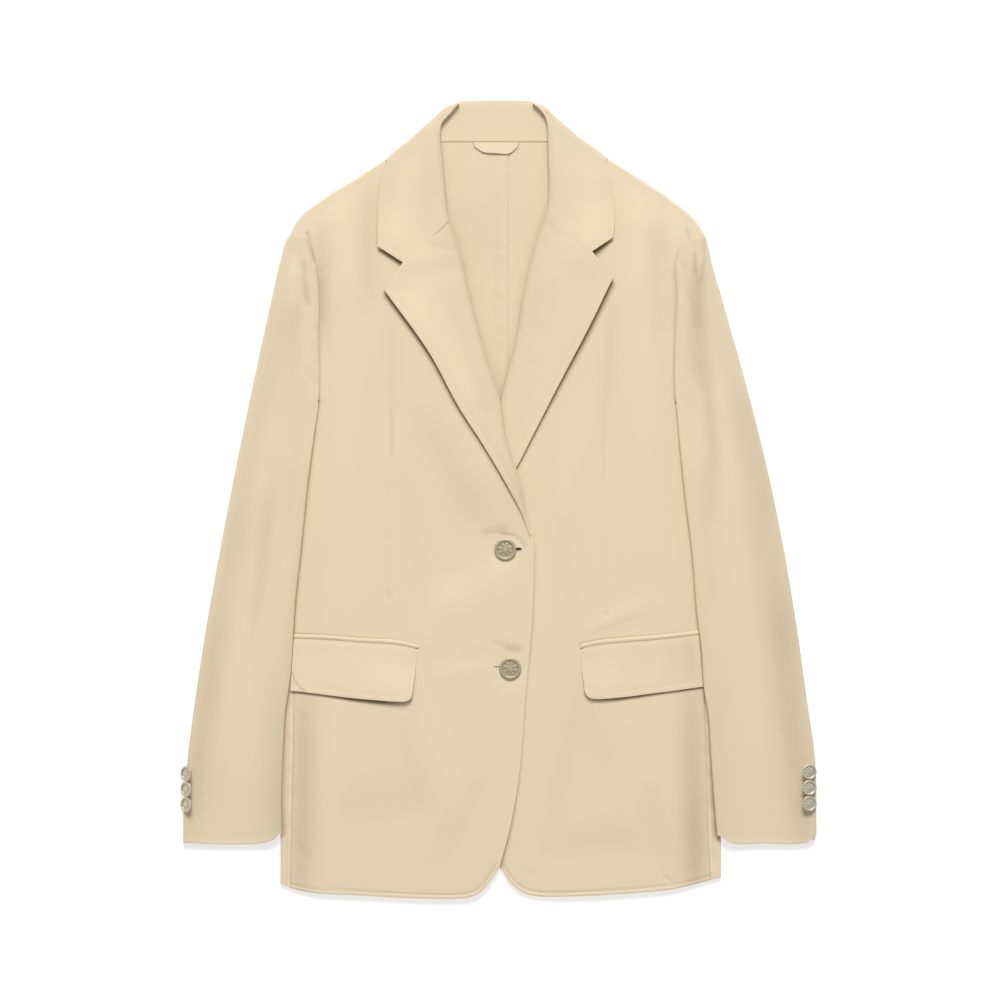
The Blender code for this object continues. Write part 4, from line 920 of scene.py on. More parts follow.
collarLines = {
    "right": {
        "end": [(-93.6, 229), (-118, 244.4)],
        "edge": [(-118, 244.4), (-117.4, 275.5), (-115.5, 305.6), (-109.2, 327)],
        "roll": [(-50, 269), (-52.2, 281), (-53.8, 299), (-55.3, 315), (-56.9, 332), (-58.5, 350),
            (-56.8, 363), (-48.9, 372.4), (-40.5, 382.2)],
        "fold": [(-40.5, 382.2), (-46, 379.7), (-52.2, 374.9), (-57.3, 369.8), (-74.7, 354.9), (-85.4, 345.5),
            (-97, 336.2), (-109.2, 327)],
        "neck": [(-51.6, 268.3), (-66, 305), (-83, 346.3)], "endLift": 1.8, "recessFrom": 350,
        "contactShadow": [(3.9, 0.85), (3.2, 0.8)],
        "edgeShadow": [(1.4, 0.05), (1.6, 0.13), (1.6, 0.13), (1.2, 0.03)],
    },
    "left": {
        "end": [(89.7, 239.6), (110, 253.2)],
        "edge": [(110, 253.2), (111, 266), (109, 290), (107, 312), (103.6, 328)],
        "roll": [(45, 273), (48, 285), (49, 299), (48.4, 329), (47.9, 349), (47.4, 361), (45.4, 369),
            (40.2, 376.2), (33.5, 382.4)],
        "fold": [(33.5, 382.4), (38.8, 380.1), (44.2, 375.4), (48.8, 370), (67, 354.9), (78.7, 345.3),
            (91.5, 336.3), (103.6, 328)],
        "neck": [(46.6, 272.3), (62, 305), (78.5, 346.3)], "endLift": 1.6, "recessFrom": 361,
        "contactShadow": [(6.4, 0.92), (4.2, 0.85), (1.4, 0.6)],
        "edgeShadow": [(1.3, 0.0), (1.4, 0.03), (1.5, 0.06), (1.2, 0.0)],
    },
    "folds": [(-92, 286, 40, 14, 0.3, 8, -0.04), (-70, 292, 44, 8, -0.2, 6, 0.02),
        (90, 280, 46, 16, 0.3, -6, -0.05)],
}

collarLook = {
    "collarRest": 0.65, "standRest": 2.65, "rowStep": 0.07, "columnStep": 0.2, "runRows": 44, "foldSteps": 12,
    "turnRows": 9,
    "standShares": (0.0, 0.04, 0.12, 0.24, 0.4, 0.55, 0.7, 0.85, 1.0), "arch": 2.9, "archReach": 0.08,
    "foldShade": 0.26, "recessShade": 0.45, "recessWidth": 4.2, "recessReach": 9, "liftBelow": (322, -30),
    "beadBelow": (322, -10), "darkBelow": (366, -14), "tipTaper": (0.3, 16), "edgeTaper": (0.75, 14),
}


def collarLeg(side, share):
    # the leg over one front: neck edge, roll and fall in plan, with their heights, a row for each share
    lines, look = collarLines[side], collarLook
    roll = alongLine(lines["roll"], share)
    columns = spaced(5.0, look["columnStep"], lapelLook["columnsNear"])
    end = edgeLine([(lapelLines[side]["gorge"], 3), (lines["end"], 2)], columns) + [0.0, halfSeam]
    meet = alongLine(lapelLines[side]["roll"], np.linspace(0, 1, 200))
    meet = beside(meet, -body[side]["sign"] * rollInset)[0]
    roll = pinned(roll, meet + [0.0, layers["seam"]], roll[-1])
    end = pinned(end, roll[0], end[-1])
    outer = alongLine(lines["edge"], share)
    outer[0] = end[-1]
    fall = patch(end, pinned(alongLine(lines["fold"], fractionsOf(end)), roll[-1], outer[-1]), roll, outer)
    stand = ruled(alongLine(lines["neck"], share), roll, look["standShares"])
    standHeight = frontHeight(stand[..., 0], stand[..., 1], side)
    x, y = fall[..., 0], fall[..., 1]
    fromEdge = distanceTo(x, y, np.concatenate([coarse(lines["end"], 6), coarse(lines["edge"], 16)]))
    lift = edgeLift(distanceTo(x, y, coarse(lines["end"], 6)), lines["endLift"]) * ramp(y, look["liftBelow"])
    bend, dark = foldLook(x, y, collarLines["folds"])
    dark = dark + rollShade(fall, roll) * ramp(y, look["darkBelow"])
    fallHeight = laidOnFront(x, y, side) + lift
    fallHeight = fallHeight + (beads(fromEdge, lapelLook["edgeBead"]) + bend) * ramp(y, look["beadBelow"])
    fallHeight[:, 0] = standHeight[:, -1] + rollLook["rise"]
    # painted shade in the recess under the roll's tip, and on the hairpin turn
    fromEnd = distanceTo(stand[..., 0], stand[..., 1], coarse(lines["roll"], 40)[24:])
    recessShade = ramp(stand[..., 1], (lines["recessFrom"], look["recessReach"]))
    recessShade = bell(fromEnd, 0, look["recessWidth"]) * recessShade
    turn = np.full((len(share), look["turnRows"]), rollLook["turnShade"])
    return stand, standHeight, fall, fallHeight, np.concatenate([look["recessShade"] * recessShade, turn, dark], axis=1)


def collarRows(stand, standHeight, fall, fallHeight):  # stand, hairpin at the roll, fall
    angles = np.linspace(math.pi, 0, collarLook["turnRows"] + 2)[1:-1]
    low = np.minimum(standHeight[:, -1], fallHeight[:, 0])
    high = np.maximum(standHeight[:, -1], fallHeight[:, 0])
    if standHeight[0, -1] > fallHeight[0, 0]:
        angles = angles[::-1]
    turn = halfTurn(fall[:, 0], unit(fall[:, 0] - fall[:, 8]), low, high, angles)
    return np.concatenate([raised(stand, standHeight), turn, raised(fall, fallHeight)], axis=1)


def collarFold(legRow, backRow, tip, outward):  # rows round the shoulder, from the leg down to the back run
    middle = (legRow[:, 2] + backRow[:, 2]) / 2
    radius = (legRow[:, 2] - backRow[:, 2]) / 2
    taper = 1.0
    for place, (least, reach) in ((tip, collarLook["tipTaper"]), (legRow[-1, :2], collarLook["edgeTaper"])):
        taper = taper * (least + (1 - least) * ease(np.linalg.norm(legRow[:, :2] - place, axis=1) / reach))
    angles = np.linspace(0.0, math.pi, collarLook["foldSteps"] + 1)[1:-1]
    return np.stack([raised(legRow[:, :2] + outward * (radius * taper * math.sin(a))[:, None],
                            middle + radius * math.cos(a)) for a in angles])


def collarPiece():
    look = collarLook
    rows = spaced(4.0, look["rowStep"], endSteps) / 4
    plans = {side: collarLeg(side, rows) for side in ("right", "left")}
    legs = {side: collarRows(*plans[side][:4]) for side in plans}
    share = np.linspace(0.0, 1.0, look["runRows"])[:, None, None]
    stand, fall = ((1 - share) * plans["right"][part][-1] + share * plans["left"][part][-1] for part in (0, 2))
    fromTip = np.clip(np.minimum(share, 1 - share)[:, 0, 0] / look["archReach"], 0, 1)
    arch = look["arch"] * (1 - (1 - fromTip) ** 2)[:, None]
    stand[..., 1] += arch * np.array(look["standShares"]) ** 2
    fall[..., 1] += arch * (1 - fractionsOf(fall[0])) ** 2
    run = collarRows(stand, np.full(stand.shape[:2], look["standRest"]), fall,
                     np.full(fall.shape[:2], look["collarRest"]))
    turned = {}
    for side, row in (("right", 0), ("left", -1)):
        line = plans[side][2][-1]
        along = line[-1] - line[0]
        outward = unit(np.array([along[1], -along[0]]) * -body[side]["sign"])
        turned[side] = collarFold(legs[side][-1], run[row], line[0], outward)
    grid = np.concatenate([legs["right"], turned["right"], run, turned["left"][::-1], legs["left"][::-1]])
    # painted shade on the collar's fold round each shoulder, darkest at its side
    tone = look["foldShade"] * np.sin(np.linspace(0, math.pi, look["foldSteps"] + 1)[1:-1])[:, None]
    tone = tone * np.ones(grid.shape[1])
    dark = np.concatenate([plans["right"][4], tone, np.zeros(run.shape[:2]), tone, plans["left"][4][::-1]])
    return clothPiece("collar", grid, dark, layers["doubleWall"])


# sleeves

sleeveLines = {
    "right": {
        "outer": [(-202.6, 256), (-206.5, 250), (-212, 232), (-221, 193), (-238, 115), (-254, 38),
            (-269, -40), (-283, -117), (-295, -195), (-303, -258), (-306.5, -311), (-306.5, -333)],
        "inner": [(-175, 94), (-176.4, 83), (-179.8, 58), (-185, 19), (-191.6, -45), (-197.4, -97),
            (-203.2, -180), (-207, -205), (-209.5, -248), (-211, -300), (-210.5, -324)],
        "bodyShade": [(1.8, 0.33), (1.8, 0.34), (1.7, 0.32), (1.8, 0.3), (2.0, 0.3), (2.6, 0.4), (3.0, 0.5)],
        "innerShade": [(4, 0.03), (6, 0.07), (8, 0.13), (10, 0.22)],
        "outerSeam": [(-193, 247), (-198, 225), (-203, 193), (-221, 115), (-236, 38), (-251, -40),
            (-265, -117), (-277, -195), (-285, -260), (-287, -311), (-287, -333)],
        "cuff": [(-306.5, -333), (-289.5, -333.7), (-250.7, -334.6), (-226.5, -332.7), (-216, -329),
            (-210.5, -324)],
        "seed": 2.2,
        "folds": [(-185, 102, 12, 9, 0.0, 0, 0.05), (-198, 152, 60, 8, -0.8, 4, 0.05),
            (-199, 205, 26, 5.5, 0.9, 2, -0.09), (-187, 156, 36, 5, 0.3, 0, -0.03),
            (-214, 140, 60, 15, -0.3, 9, 0.06), (-222, 50, 70, 10, 0.8, 10, -0.02),
            (-200, 20, 80, 7, -0.5, 6, 0.03), (-243, 20, 90, 10, -0.5, 12, 0.045),
            (-231, -72, 80, 7, -0.8, 7, 0.075), (-210, -110, 80, 9, 0.6, 5, -0.02),
            (-250, -186, 100, 20, 0.9, 6, -0.045), (-287, -225, 112, 12.5, -0.4, 8, 0.13),
            (-262, -80, 70, 13, -0.3, 10, 0.05), (-222, -262, 70, 9, -0.5, 4, 0.04),
            (-262, -262, 50, 11, -0.5, 16, 0.012)],
        "creases": [([(-189.6, 226), (-188.8, 208), (-185.6, 188)], 3.0, 0.7, 0.11),
            ([(-188.4, 200), (-185.6, 191)], 2.8, 0.4, 0.07),
            ([(-186.0, 257), (-183.4, 245), (-180.4, 231)], 2.3, 0.7, 0.2),
            ([(-198, 212), (-197, 186), (-193, 168)], 3.5, 0.35, 0.02),
            ([(-193, 240), (-195, 222)], 2.6, 0.3, 0.03), ([(-297, -250), (-286, -256)], 2.4, 0.3, 0.03),
            ([(-298, -306), (-284, -303)], 2.4, 0.25, 0.03)],
    },
    "left": {
        "outer": [(198.6, 255), (201, 249), (205, 232), (216, 193), (238, 115), (257.5, 38), (274, -40),
            (287, -117), (298, -195), (306, -253), (307, -311), (306.9, -325), (304.8, -331)],
        "inner": [(170.7, 92), (172.5, 76), (174, 57), (180, -2), (186.3, -53), (191.6, -117), (195.8, -149),
            (197.4, -181), (201.8, -208.5), (205, -256), (208, -296), (210.7, -326)],
        "bodyShade": [(1.6, 0.12), (1.5, 0.14), (1.6, 0.16), (1.8, 0.2), (2.2, 0.3), (2.8, 0.4), (3.4, 0.5)],
        "innerShade": [(4, 0.02), (5, 0.04), (6, 0.06), (8, 0.1)],
        "outerSeam": [(189, 247), (193, 225), (198, 193), (219, 115), (238, 38), (255, -40), (268, -117),
            (279, -195), (287, -260), (288, -311), (287, -332)],
        "cuff": [(304.8, -331), (301.8, -333), (295.4, -333.7), (256.6, -333.5), (222, -332.5),
            (210.7, -326)],
        "seed": 0.9,
        "folds": [(181, 102, 12, 9, 0.0, 0, 0.05), (192, 194, 30, 7.2, -1.1, 0, 0.24),
            (193.5, 140, 34, 10.5, -0.9, -4, 0.16), (204, 72, 46, 7.5, -0.8, -5, 0.11),
            (205, 8, 30, 9, -0.3, -6, 0.06), (219, 52, 60, 8, 0.9, -8, -0.03),
            (219, 160, 50, 8, 0.6, -12, 0.03), (246, 42, 64, 15, -0.4, -15, 0.11),
            (229, -46, 56, 12, 0.8, -8, -0.03), (264, -74, 76, 17, -0.5, -12, 0.11),
            (202, -50, 60, 7, -0.4, -5, 0.03), (282, -205, 100, 16, -0.4, -7, 0.17),
            (240, -180, 90, 13, 0.7, -8, -0.02), (214, -238, 66, 8, -0.5, -3, 0.03),
            (294, -314, 30, 13, -0.2, -4, 0.11)],
        "creases": [([(189.2, 236), (189.4, 219)], 2.1, 0.5, 0.16),
            ([(198.4, 250), (198, 230), (196, 212)], 2.0, 0.5, 0.13),
            ([(194.5, 232), (194, 214)], 1.8, -0.3, -0.05),
            ([(179, 226), (181, 204), (186, 180)], 3.2, 0.45, 0.04),
            ([(203, 214), (207, 190)], 3.0, 0.3, 0.02), ([(296, -252), (286, -258)], 2.4, 0.3, 0.03)],
    },
}

sleeveLook = {
    "elbowTop": 71.0, "sideMargin": 3.0, "tipGap": 0.15, "blend": 0.8, "outerMeet": 0.8,
    "innerFrom": (4.88, 0.12),
    "overBody": (-16, 13), "overBodyBelow": (112, -20), "topOverBody": (-27, 30), "slowFrom": (2, 45),
    "slowBy": (88, 92),
    "innerFlat": (92, -70), "armholeFrom": (92, 20), "foldsFrom": 5, "rowStep": 0.1, "underRowStep": 0.12,
    "columns": 34,
    "columnsNear": (0.004, 0.012), "turnSteps": 12, "seam": (0.2, 0.3, 8.0, 0.096), "tone": 0.03,
    "narrow": 2.4,
    "armholeDark": 0.8, "underStep": 0.045, "underNear": (0.006, 0.02), "outerStrip": 6, "innerStrip": 5,
    "cuffBead": [(0.25, 1.4, 1.2)], "turnBlend": 1.2, "underEdgeShade": 0.1,
}


def sleeveUnderHeight(x, y, side):
    over = ramp(insideEdge(x, y, side), sleeveLook["overBody"]) * ramp(y, sleeveLook["overBodyBelow"])
    return layers["back"] + layers["sleeveOverBody"] * over


def innerLoftAt(y):  # the hollow inside the sleeve's inner fold, which closes up at the underarm
    return layers["sleeveInnerLoft"] - layers["notchFlat"] * (1 - ramp(y, sleeveLook["innerFlat"]))


def sleeveTopHeight(x, y, side, across):
    look = sleeveLook
    slow = ramp(distanceTo(x, y, coarse(body[side]["armhole"], 20)), look["slowFrom"])
    start, reach = look["overBodyBelow"]  # where the sleeve climbs the body: early, but late beside the armhole
    climb = ease((y - start - look["slowBy"][0] * slow) / (reach - look["slowBy"][1] * slow))
    over = ramp(insideEdge(x, y, side), look["topOverBody"]) * climb
    loft = layers["sleeveOuterLoft"] - (layers["sleeveOuterLoft"] - innerLoftAt(y)) * over
    drop = layers["back"] + layers["sleeveOuterLoft"] - layers["front"]
    atArmhole = drop * across * ramp(y, look["armholeFrom"])
    height = layers["back"] + layers["sleeveOverBody"] * over + loft - atArmhole
    return height + foldLook(x, y, sleeveLines[side]["folds"])[0] * ease(across * look["foldsFrom"])


def sleeveEdges(side, rows):
    # for each row: the edge on the front with the inner fold below it, the outer fold, and both seams beneath
    lines, look, sign = sleeveLines[side], sleeveLook, body[side]["sign"]
    tip, ahead, tipOutward = tipOf(side)
    notch, elbow, cuff = body[side]["armhole"][-1][1], look["elbowTop"], lines["outer"][-1][1]
    outer = atHeights(lines["outer"], np.interp(rows, [0, 5, 7, 17], [tip[1], notch, elbow, cuff]))
    outer = beside(outer, sign * (layers["sleeveOuterLoft"] / 2 + layers["wall"] / 2))
    near = (1 - ease(rows / look["blend"]))[:, None]
    outer = outer + (tip + ahead * look["tipGap"] - outer[0]) * near
    seamHeights = [lines["outerSeam"][0][1], tip[1] + (notch - tip[1]) / 5, notch, elbow, cuff]
    outerSeam = atHeights(lines["outerSeam"], np.interp(rows, [0, 1, 5, 7, 17], seamHeights))
    meet = backArmholeSeam(side, np.array([look["outerMeet"]]))[0]
    outerSeam = outerSeam + (meet - outerSeam[0]) * near
    innerHeights = np.interp(rows, [5, 7, 17], [notch, elbow, lines["inner"][-1][1]])
    inner = atHeights(lines["inner"], innerHeights)
    inset = (innerLoftAt(inner[:, 1]) + layers["wall"]) / 2
    inner = inner - normalsOf(inner) * (sign * inset)[:, None]
    onArmhole = rows < 5
    armhole = armholeSeam(side, np.minimum(rows + 3, 8))
    aside = halfSeam + inset * ramp(rows, look["innerFrom"])
    inner[onArmhole] = (armhole - normalsOf(armhole) * (sign * aside)[:, None])[onArmhole]
    underBody = beside(atHeights(body[side]["bodyEdge"], innerHeights), -sign * look["sideMargin"])
    backEdge = [(backLines[side]["armhole"], 5), (backLines[side]["sideTop"], 2)]
    underSeam = edgeLine(backEdge, np.clip(rows, 0, 7))
    underSeam[rows > 7] = underBody[rows > 7]
    return inner, outer, outerSeam, underSeam, tipOutward


def sleeveTopPiece(side):
    lines, look, sign = sleeveLines[side], sleeveLook, body[side]["sign"]
    rows = spaced(17.0, look["rowStep"], endSteps)
    inner, outer, outerSeam, underSeam, tipOutward = sleeveEdges(side, rows)
    shares = spaced(1.0, 1.0 / look["columns"], look["columnsNear"])
    cap = pinned(beside(armholeSeam(side, shares * 3), -sign * halfSeam), outer[0], inner[0])
    cuff = pinned(alongLine(lines["cuff"], shares), outer[-1], inner[-1])
    flat = patch(cap, cuff, outer, inner)
    x, y = flat[..., 0], flat[..., 1]
    across = np.linspace(0.0, 1.0, flat.shape[1])[None, :]
    capLine = [coarse(body[side]["cap"], 8), coarse(body[side]["armhole"], 20)]
    fromArmhole = distanceTo(x, y, np.concatenate(capLine))
    rise, dark = creaseLook(x, y, lines["creases"]) + seamRise(fromArmhole, y + x, lines["seed"], *look["seam"])
    cuffBead = beads(distanceTo(x, y, coarse(lines["cuff"], 14)), look["cuffBead"])
    upper = raised(flat, sleeveTopHeight(x, y, side, across) + rise + cuffBead)
    narrow = [(min(width, look["narrow"]), deep * look["armholeDark"])
              for width, deep in body[side]["armholeShade"]]
    # painted shade and highlights of the folds, and painted shade along the armhole and the inner edge, over an
    # even tone
    dark = dark + look["tone"] + foldLook(x, y, lines["folds"])[1]
    dark = dark + shadeAlong(x, y, body[side]["armhole"], 20, narrow, 2)
    dark = dark + shadeAlong(x, y, lines["inner"], 30, lines["innerShade"], 1)
    floor = np.full(len(outer), layers["back"])
    rising = np.linspace(math.pi, 0, look["turnSteps"] + 1)
    blendIn = (1 - ease(rows / look["turnBlend"]))[:, None]
    outward = unit(normalsOf(outer) * -sign * (1 - blendIn) + tipOutward * blendIn)
    outerTurn = halfTurn(outer, outward, floor, upper[:, 0, 2], rising[:-1])
    shares = np.linspace(0.0, 1.0, look["outerStrip"] + 1)[:-1]
    strip = ruled(beside(outerSeam, -sign * halfSeam), outer, shares)
    outerStrip = raised(strip, np.full(strip.shape[:2], layers["back"]))
    low = sleeveUnderHeight(inner[:, 0], inner[:, 1], side)
    innerTurn = halfTurn(inner, normalsOf(inner) * sign, low, upper[:, -1, 2], rising[-2::-1])
    onArmhole = rows < 5
    seam = beside(underSeam, sign * halfSeam)
    seam[onArmhole] = inner[onArmhole]
    strip = ruled(inner, seam, np.linspace(0.0, 1.0, look["innerStrip"] + 1)[1:])
    innerStrip = raised(strip, sleeveUnderHeight(strip[..., 0], strip[..., 1], side))
    grid = np.concatenate([outerStrip, outerTurn, upper, innerTurn, innerStrip], axis=1)
    counts = [outerTurn.shape[1], innerTurn.shape[1]]
    # the painted shade of the edges carries on round both turns
    shade = np.concatenate([np.zeros(outerStrip.shape[:2]), np.repeat(dark[:, :1], counts[0], axis=1), dark,
                            np.repeat(dark[:, -1:], counts[1], axis=1), np.zeros(innerStrip.shape[:2])], axis=1)
    hidden = counts[1] + innerStrip.shape[1]
    leftOut = (slice(0, int(onArmhole.sum())), slice(grid.shape[1] - hidden - 1, None))
    return clothPiece("sleeve_top_" + side, grid, shade, layers["wall"], leftOut)


def sleeveUnderPiece(side):
    sign = body[side]["sign"]
    rows = spaced(17.0, sleeveLook["underRowStep"], endSteps)
    outerSeam, underSeam = sleeveEdges(side, rows)[2:4]
    outerEdge, innerEdge = beside(outerSeam, sign * halfSeam), beside(underSeam, -sign * layers["seam"])
    shares = spaced(1.0, sleeveLook["underStep"], sleeveLook["underNear"])
    first = sleeveLook["outerMeet"]
    cap = beside(backArmholeSeam(side, first + (2 - first) * shares), -sign * halfSeam)
    cap = pinned(cap, outerEdge[0], innerEdge[0])
    flat = patch(cap, ruled(outerEdge[-1:], innerEdge[-1:], shares)[0], outerEdge, innerEdge)
    dark = np.zeros(flat.shape[:2])
    # painted shade along both edges
    dark[:, 0] = dark[:, -1] = sleeveLook["underEdgeShade"]
    height = sleeveUnderHeight(flat[..., 0], flat[..., 1], side)
    return clothPiece("sleeve_under_" + side, raised(flat, height), dark, layers["wall"])


# pockets and loop

pockets = {
    "right": {
        "upper": [(-199.2, -130.9), (-165, -132.2), (-135, -134.6), (-95, -137.6), (-78, -142.3)],
        "seam": [(-199.2, -135), (-165, -136.2), (-135, -138.6), (-96, -141.4), (-79, -144.8)],
        "flap": [(-202.6, -185.7), (-189, -187.1), (-163, -190.3), (-140, -193), (-118, -194.9),
            (-100, -196.2), (-93, -196.2), (-88, -194.8), (-85.3, -192.2), (-84.4, -189.6)],
        "cornerLift": 2.7, "contactShadow": [(1.7, 0.5), (1.9, 0.6), (3.2, 0.8), (3.6, 0.85), (1.2, 0.1)],
        "folds": [(-150, -164, 70, 30, 0.2, 85, -0.04)],
        "creases": [([(-201.1, -168.8), (-198.1, -176.7), (-194.1, -182.2), (-189.2, -186.1)], 1.3, 0.3, 0.2)],
    },
    "left": {
        "upper": [(78, -140.6), (92, -137.4), (112, -135), (150, -132), (192.6, -127.6)],
        "seam": [(78, -144.9), (92, -141.6), (112, -139.4), (150, -136.3), (192.8, -131.4)],
        "flap": [(82.6, -187), (84.3, -190.4), (88, -192.8), (94.5, -193.6), (104, -193.2), (118, -192),
            (147.6, -188.3), (167.4, -185.9), (197, -181.8)],
        "cornerLift": 1.7, "contactShadow": [(1.1, 0.2), (2.6, 0.75), (2.4, 0.7), (1.8, 0.6), (1.6, 0.6)],
        "folds": [(185, -157, 24, 9, -0.3, -4, 0.1), (167, -160, 24, 9, -0.3, -4, 0.045),
            (104, -166, 24, 12, 0.2, 20, -0.02)],
        "creases": [([(191.6, -158), (193, -168), (193.6, -177)], 1.3, -0.2, 0.02)],
    },
}

pocketLook = {
    "weltRise": 1.05, "weltCrown": 0.55, "weltShade": (0.14, 0.08), "weltStep": 0.02,
    "weltNear": (0.003, 0.009),
    "flapRise": 1.3, "flapGap": 0.25, "flapStep": 0.0125, "flapNear": (0.002, 0.006), "downStep": 0.03,
    "downNear": (0.008, 0.02), "outerLift": 0.4, "liftFrom": (0.3, 0.65), "liftPower": 1.5, "pressed": 0.95,
    "pressedWidth": 0.035, "pressedBelow": (0.35, 0.35), "tuck": (0.35, 0.05), "seamShade": (0.12, 0.02),
    "edgeBead": [(0.12, 2.2, 1.5), (-0.1, 5.4, 1.4)],
}


def weltPiece(side):  # a low lip: its crown is half a sine across it
    look = pocketLook
    down = np.linspace(0.0, 1.0, 11)
    flat = stripBetween(pockets[side]["upper"], pockets[side]["seam"],
                        spaced(1.0, look["weltStep"], look["weltNear"]), down)
    even = np.ones(flat.shape[1])[None]
    height = frontHeight(flat[..., 0], flat[..., 1], side) + look["weltRise"]
    height = height + look["weltCrown"] * np.sin(math.pi * down)[:, None] * even
    # painted shade along the welt's upper edge
    deep, width = look["weltShade"]
    dark = deep * bell(down, 0, width)[:, None] * even
    return clothPiece("welt_" + side, raised(flat, height), dark, layers["trimWall"])


def flapPiece(side, welt):
    lines, look = pockets[side], pocketLook
    shares = spaced(1.0, look["flapStep"], look["flapNear"])
    down = spaced(1.0, look["downStep"], look["downNear"])
    flat = stripBetween([(x, y - look["flapGap"]) for x, y in lines["seam"]], lines["flap"], shares, down)
    x, y = flat[..., 0], flat[..., 1]
    inner = shares if side == "right" else 1 - shares  # 0 at the side seam, 1 towards the middle
    lift = look["outerLift"] + (lines["cornerLift"] - look["outerLift"]) * ramp(inner, look["liftFrom"])
    fade = 1 - ramp(down, look["pressedBelow"])
    pressed = bell(1 - inner, 0, look["pressedWidth"])[None, :] * fade[:, None]
    deep, width = look["tuck"]
    tuck = deep * bell(down, 0, width)[:, None] + look["pressed"] * pressed
    rise, dark = creaseLook(x, y, lines["creases"]) + foldLook(x, y, lines["folds"])
    height = frontHeight(x, y, side) + look["flapRise"]
    height = height + lift[None] * ease(down)[:, None] ** look["liftPower"] - tuck
    height = height + rise + beads(distanceTo(x, y, coarse(lines["flap"], 20)), look["edgeBead"])
    # painted shade along the flap's seam
    deep, width = look["seamShade"]
    dark = dark + deep * bell(down, 0, width)[:, None]
    return clothPiece("flap_" + side, raised(flat, height), dark, layers["doubleWall"])


hangerLoop = {
    "upper": [(-25.8, 345.6), (19, 345.6)],
    "lower": [(-23.5, 341), (-17, 336.6), (-4, 335), (10, 335), (17, 340.5)],
    "rise": 1.3, "bow": 0.5, "tone": -0.05, "acrossStep": 0.025, "downStep": 0.1,
}


def loopPiece():
    shares = spaced(1.0, hangerLoop["acrossStep"], (0.006, 0.015))
    down = spaced(1.0, hangerLoop["downStep"], (0.03,))
    flat = stripBetween(hangerLoop["upper"], hangerLoop["lower"], shares, down)
    bow = hangerLoop["bow"] * np.sin(math.pi * shares)[None, :] * down[:, None]
    height = backHeight(flat[..., 0], flat[..., 1]) + hangerLoop["rise"] + bow
    dark = np.full(height.shape, hangerLoop["tone"])
    return clothPiece("hanger_loop", raised(flat, height), dark, layers["trimWall"])


# buttons and buttonholes

frontButton = {"diameter": 21.0, "thickness": 1.7, "shank": 0.25, "steps": 144, "metal": "metal"}
cuffButton = {"diameter": 14.7, "thickness": 1.9, "shank": 0.5, "steps": 96, "metal": "litCuffMetal", "turn": 0.8}
frontButtons = {
    "button_upper": {"place": (5.6, -49.0, 4.9), "turn": 0.3},
    "button_lower": {"place": (10.4, -164.2, 5.0), "turn": 1.1},
}
cuffButtons = {
    "right": {"x": -302.1, "z": 6.7, "lean": -40, "rows": (-265.8, -280.8, -295.8)},
    "left": {"x": 299.4, "z": 7.3, "lean": 14, "rows": (-264.0, -279.4, -294.8)},
}
buttonLook = {  # radii are shares of the button's own, and a ring is (height or dark, radius, width)
    "petals": 8, "petalRing": (0.16, 0.5, 0.14), "beads": 36, "beadRing": (0.07, 0.88, 0.05),
    "darkRings": [(0.35, 0.76, 0.05), (0.3, 0.3, 0.06)], "gaps": (0.4, 0.52, 0.15), "rimShade": 0.45,
    "outsideFrom": (0.93, 0.06), "faceDepth": 1.0, "underShade": 0.5, "underDepth": 1.2,
    "face": (0.62, 0.22, 3.9, 0.76),  # its middle's depth, swell, bend, and where it ends
    "lip": (0.87, 0.13, 0.35, 0.42),  # its middle and half width, depth and half height
    "under": (0.97, 0.88, 0.3, 0.25, 0.0),
}


def buttonProfile(radius, thickness, shank):
    # from the middle of the face out over a rounded rim, round the edge, and back under to the shank
    top = shank + thickness
    low, swell, bend, end = buttonLook["face"]
    face = [(radius * s, top - low + swell * math.cos(s * bend)) for s in np.linspace(0.0, end, 22)]
    middle, reach, low, high = buttonLook["lip"]
    lip = [(radius * (middle + reach * math.cos(a)), top - low + high * math.sin(a))
           for a in np.linspace(math.pi, -0.3, 16)]
    heights = (shank + thickness * 0.35, shank, shank, 0.0, 0.0)
    under = [(radius * s, height) for s, height in zip(buttonLook["under"], heights)]
    return np.array(face + lip + under, float)


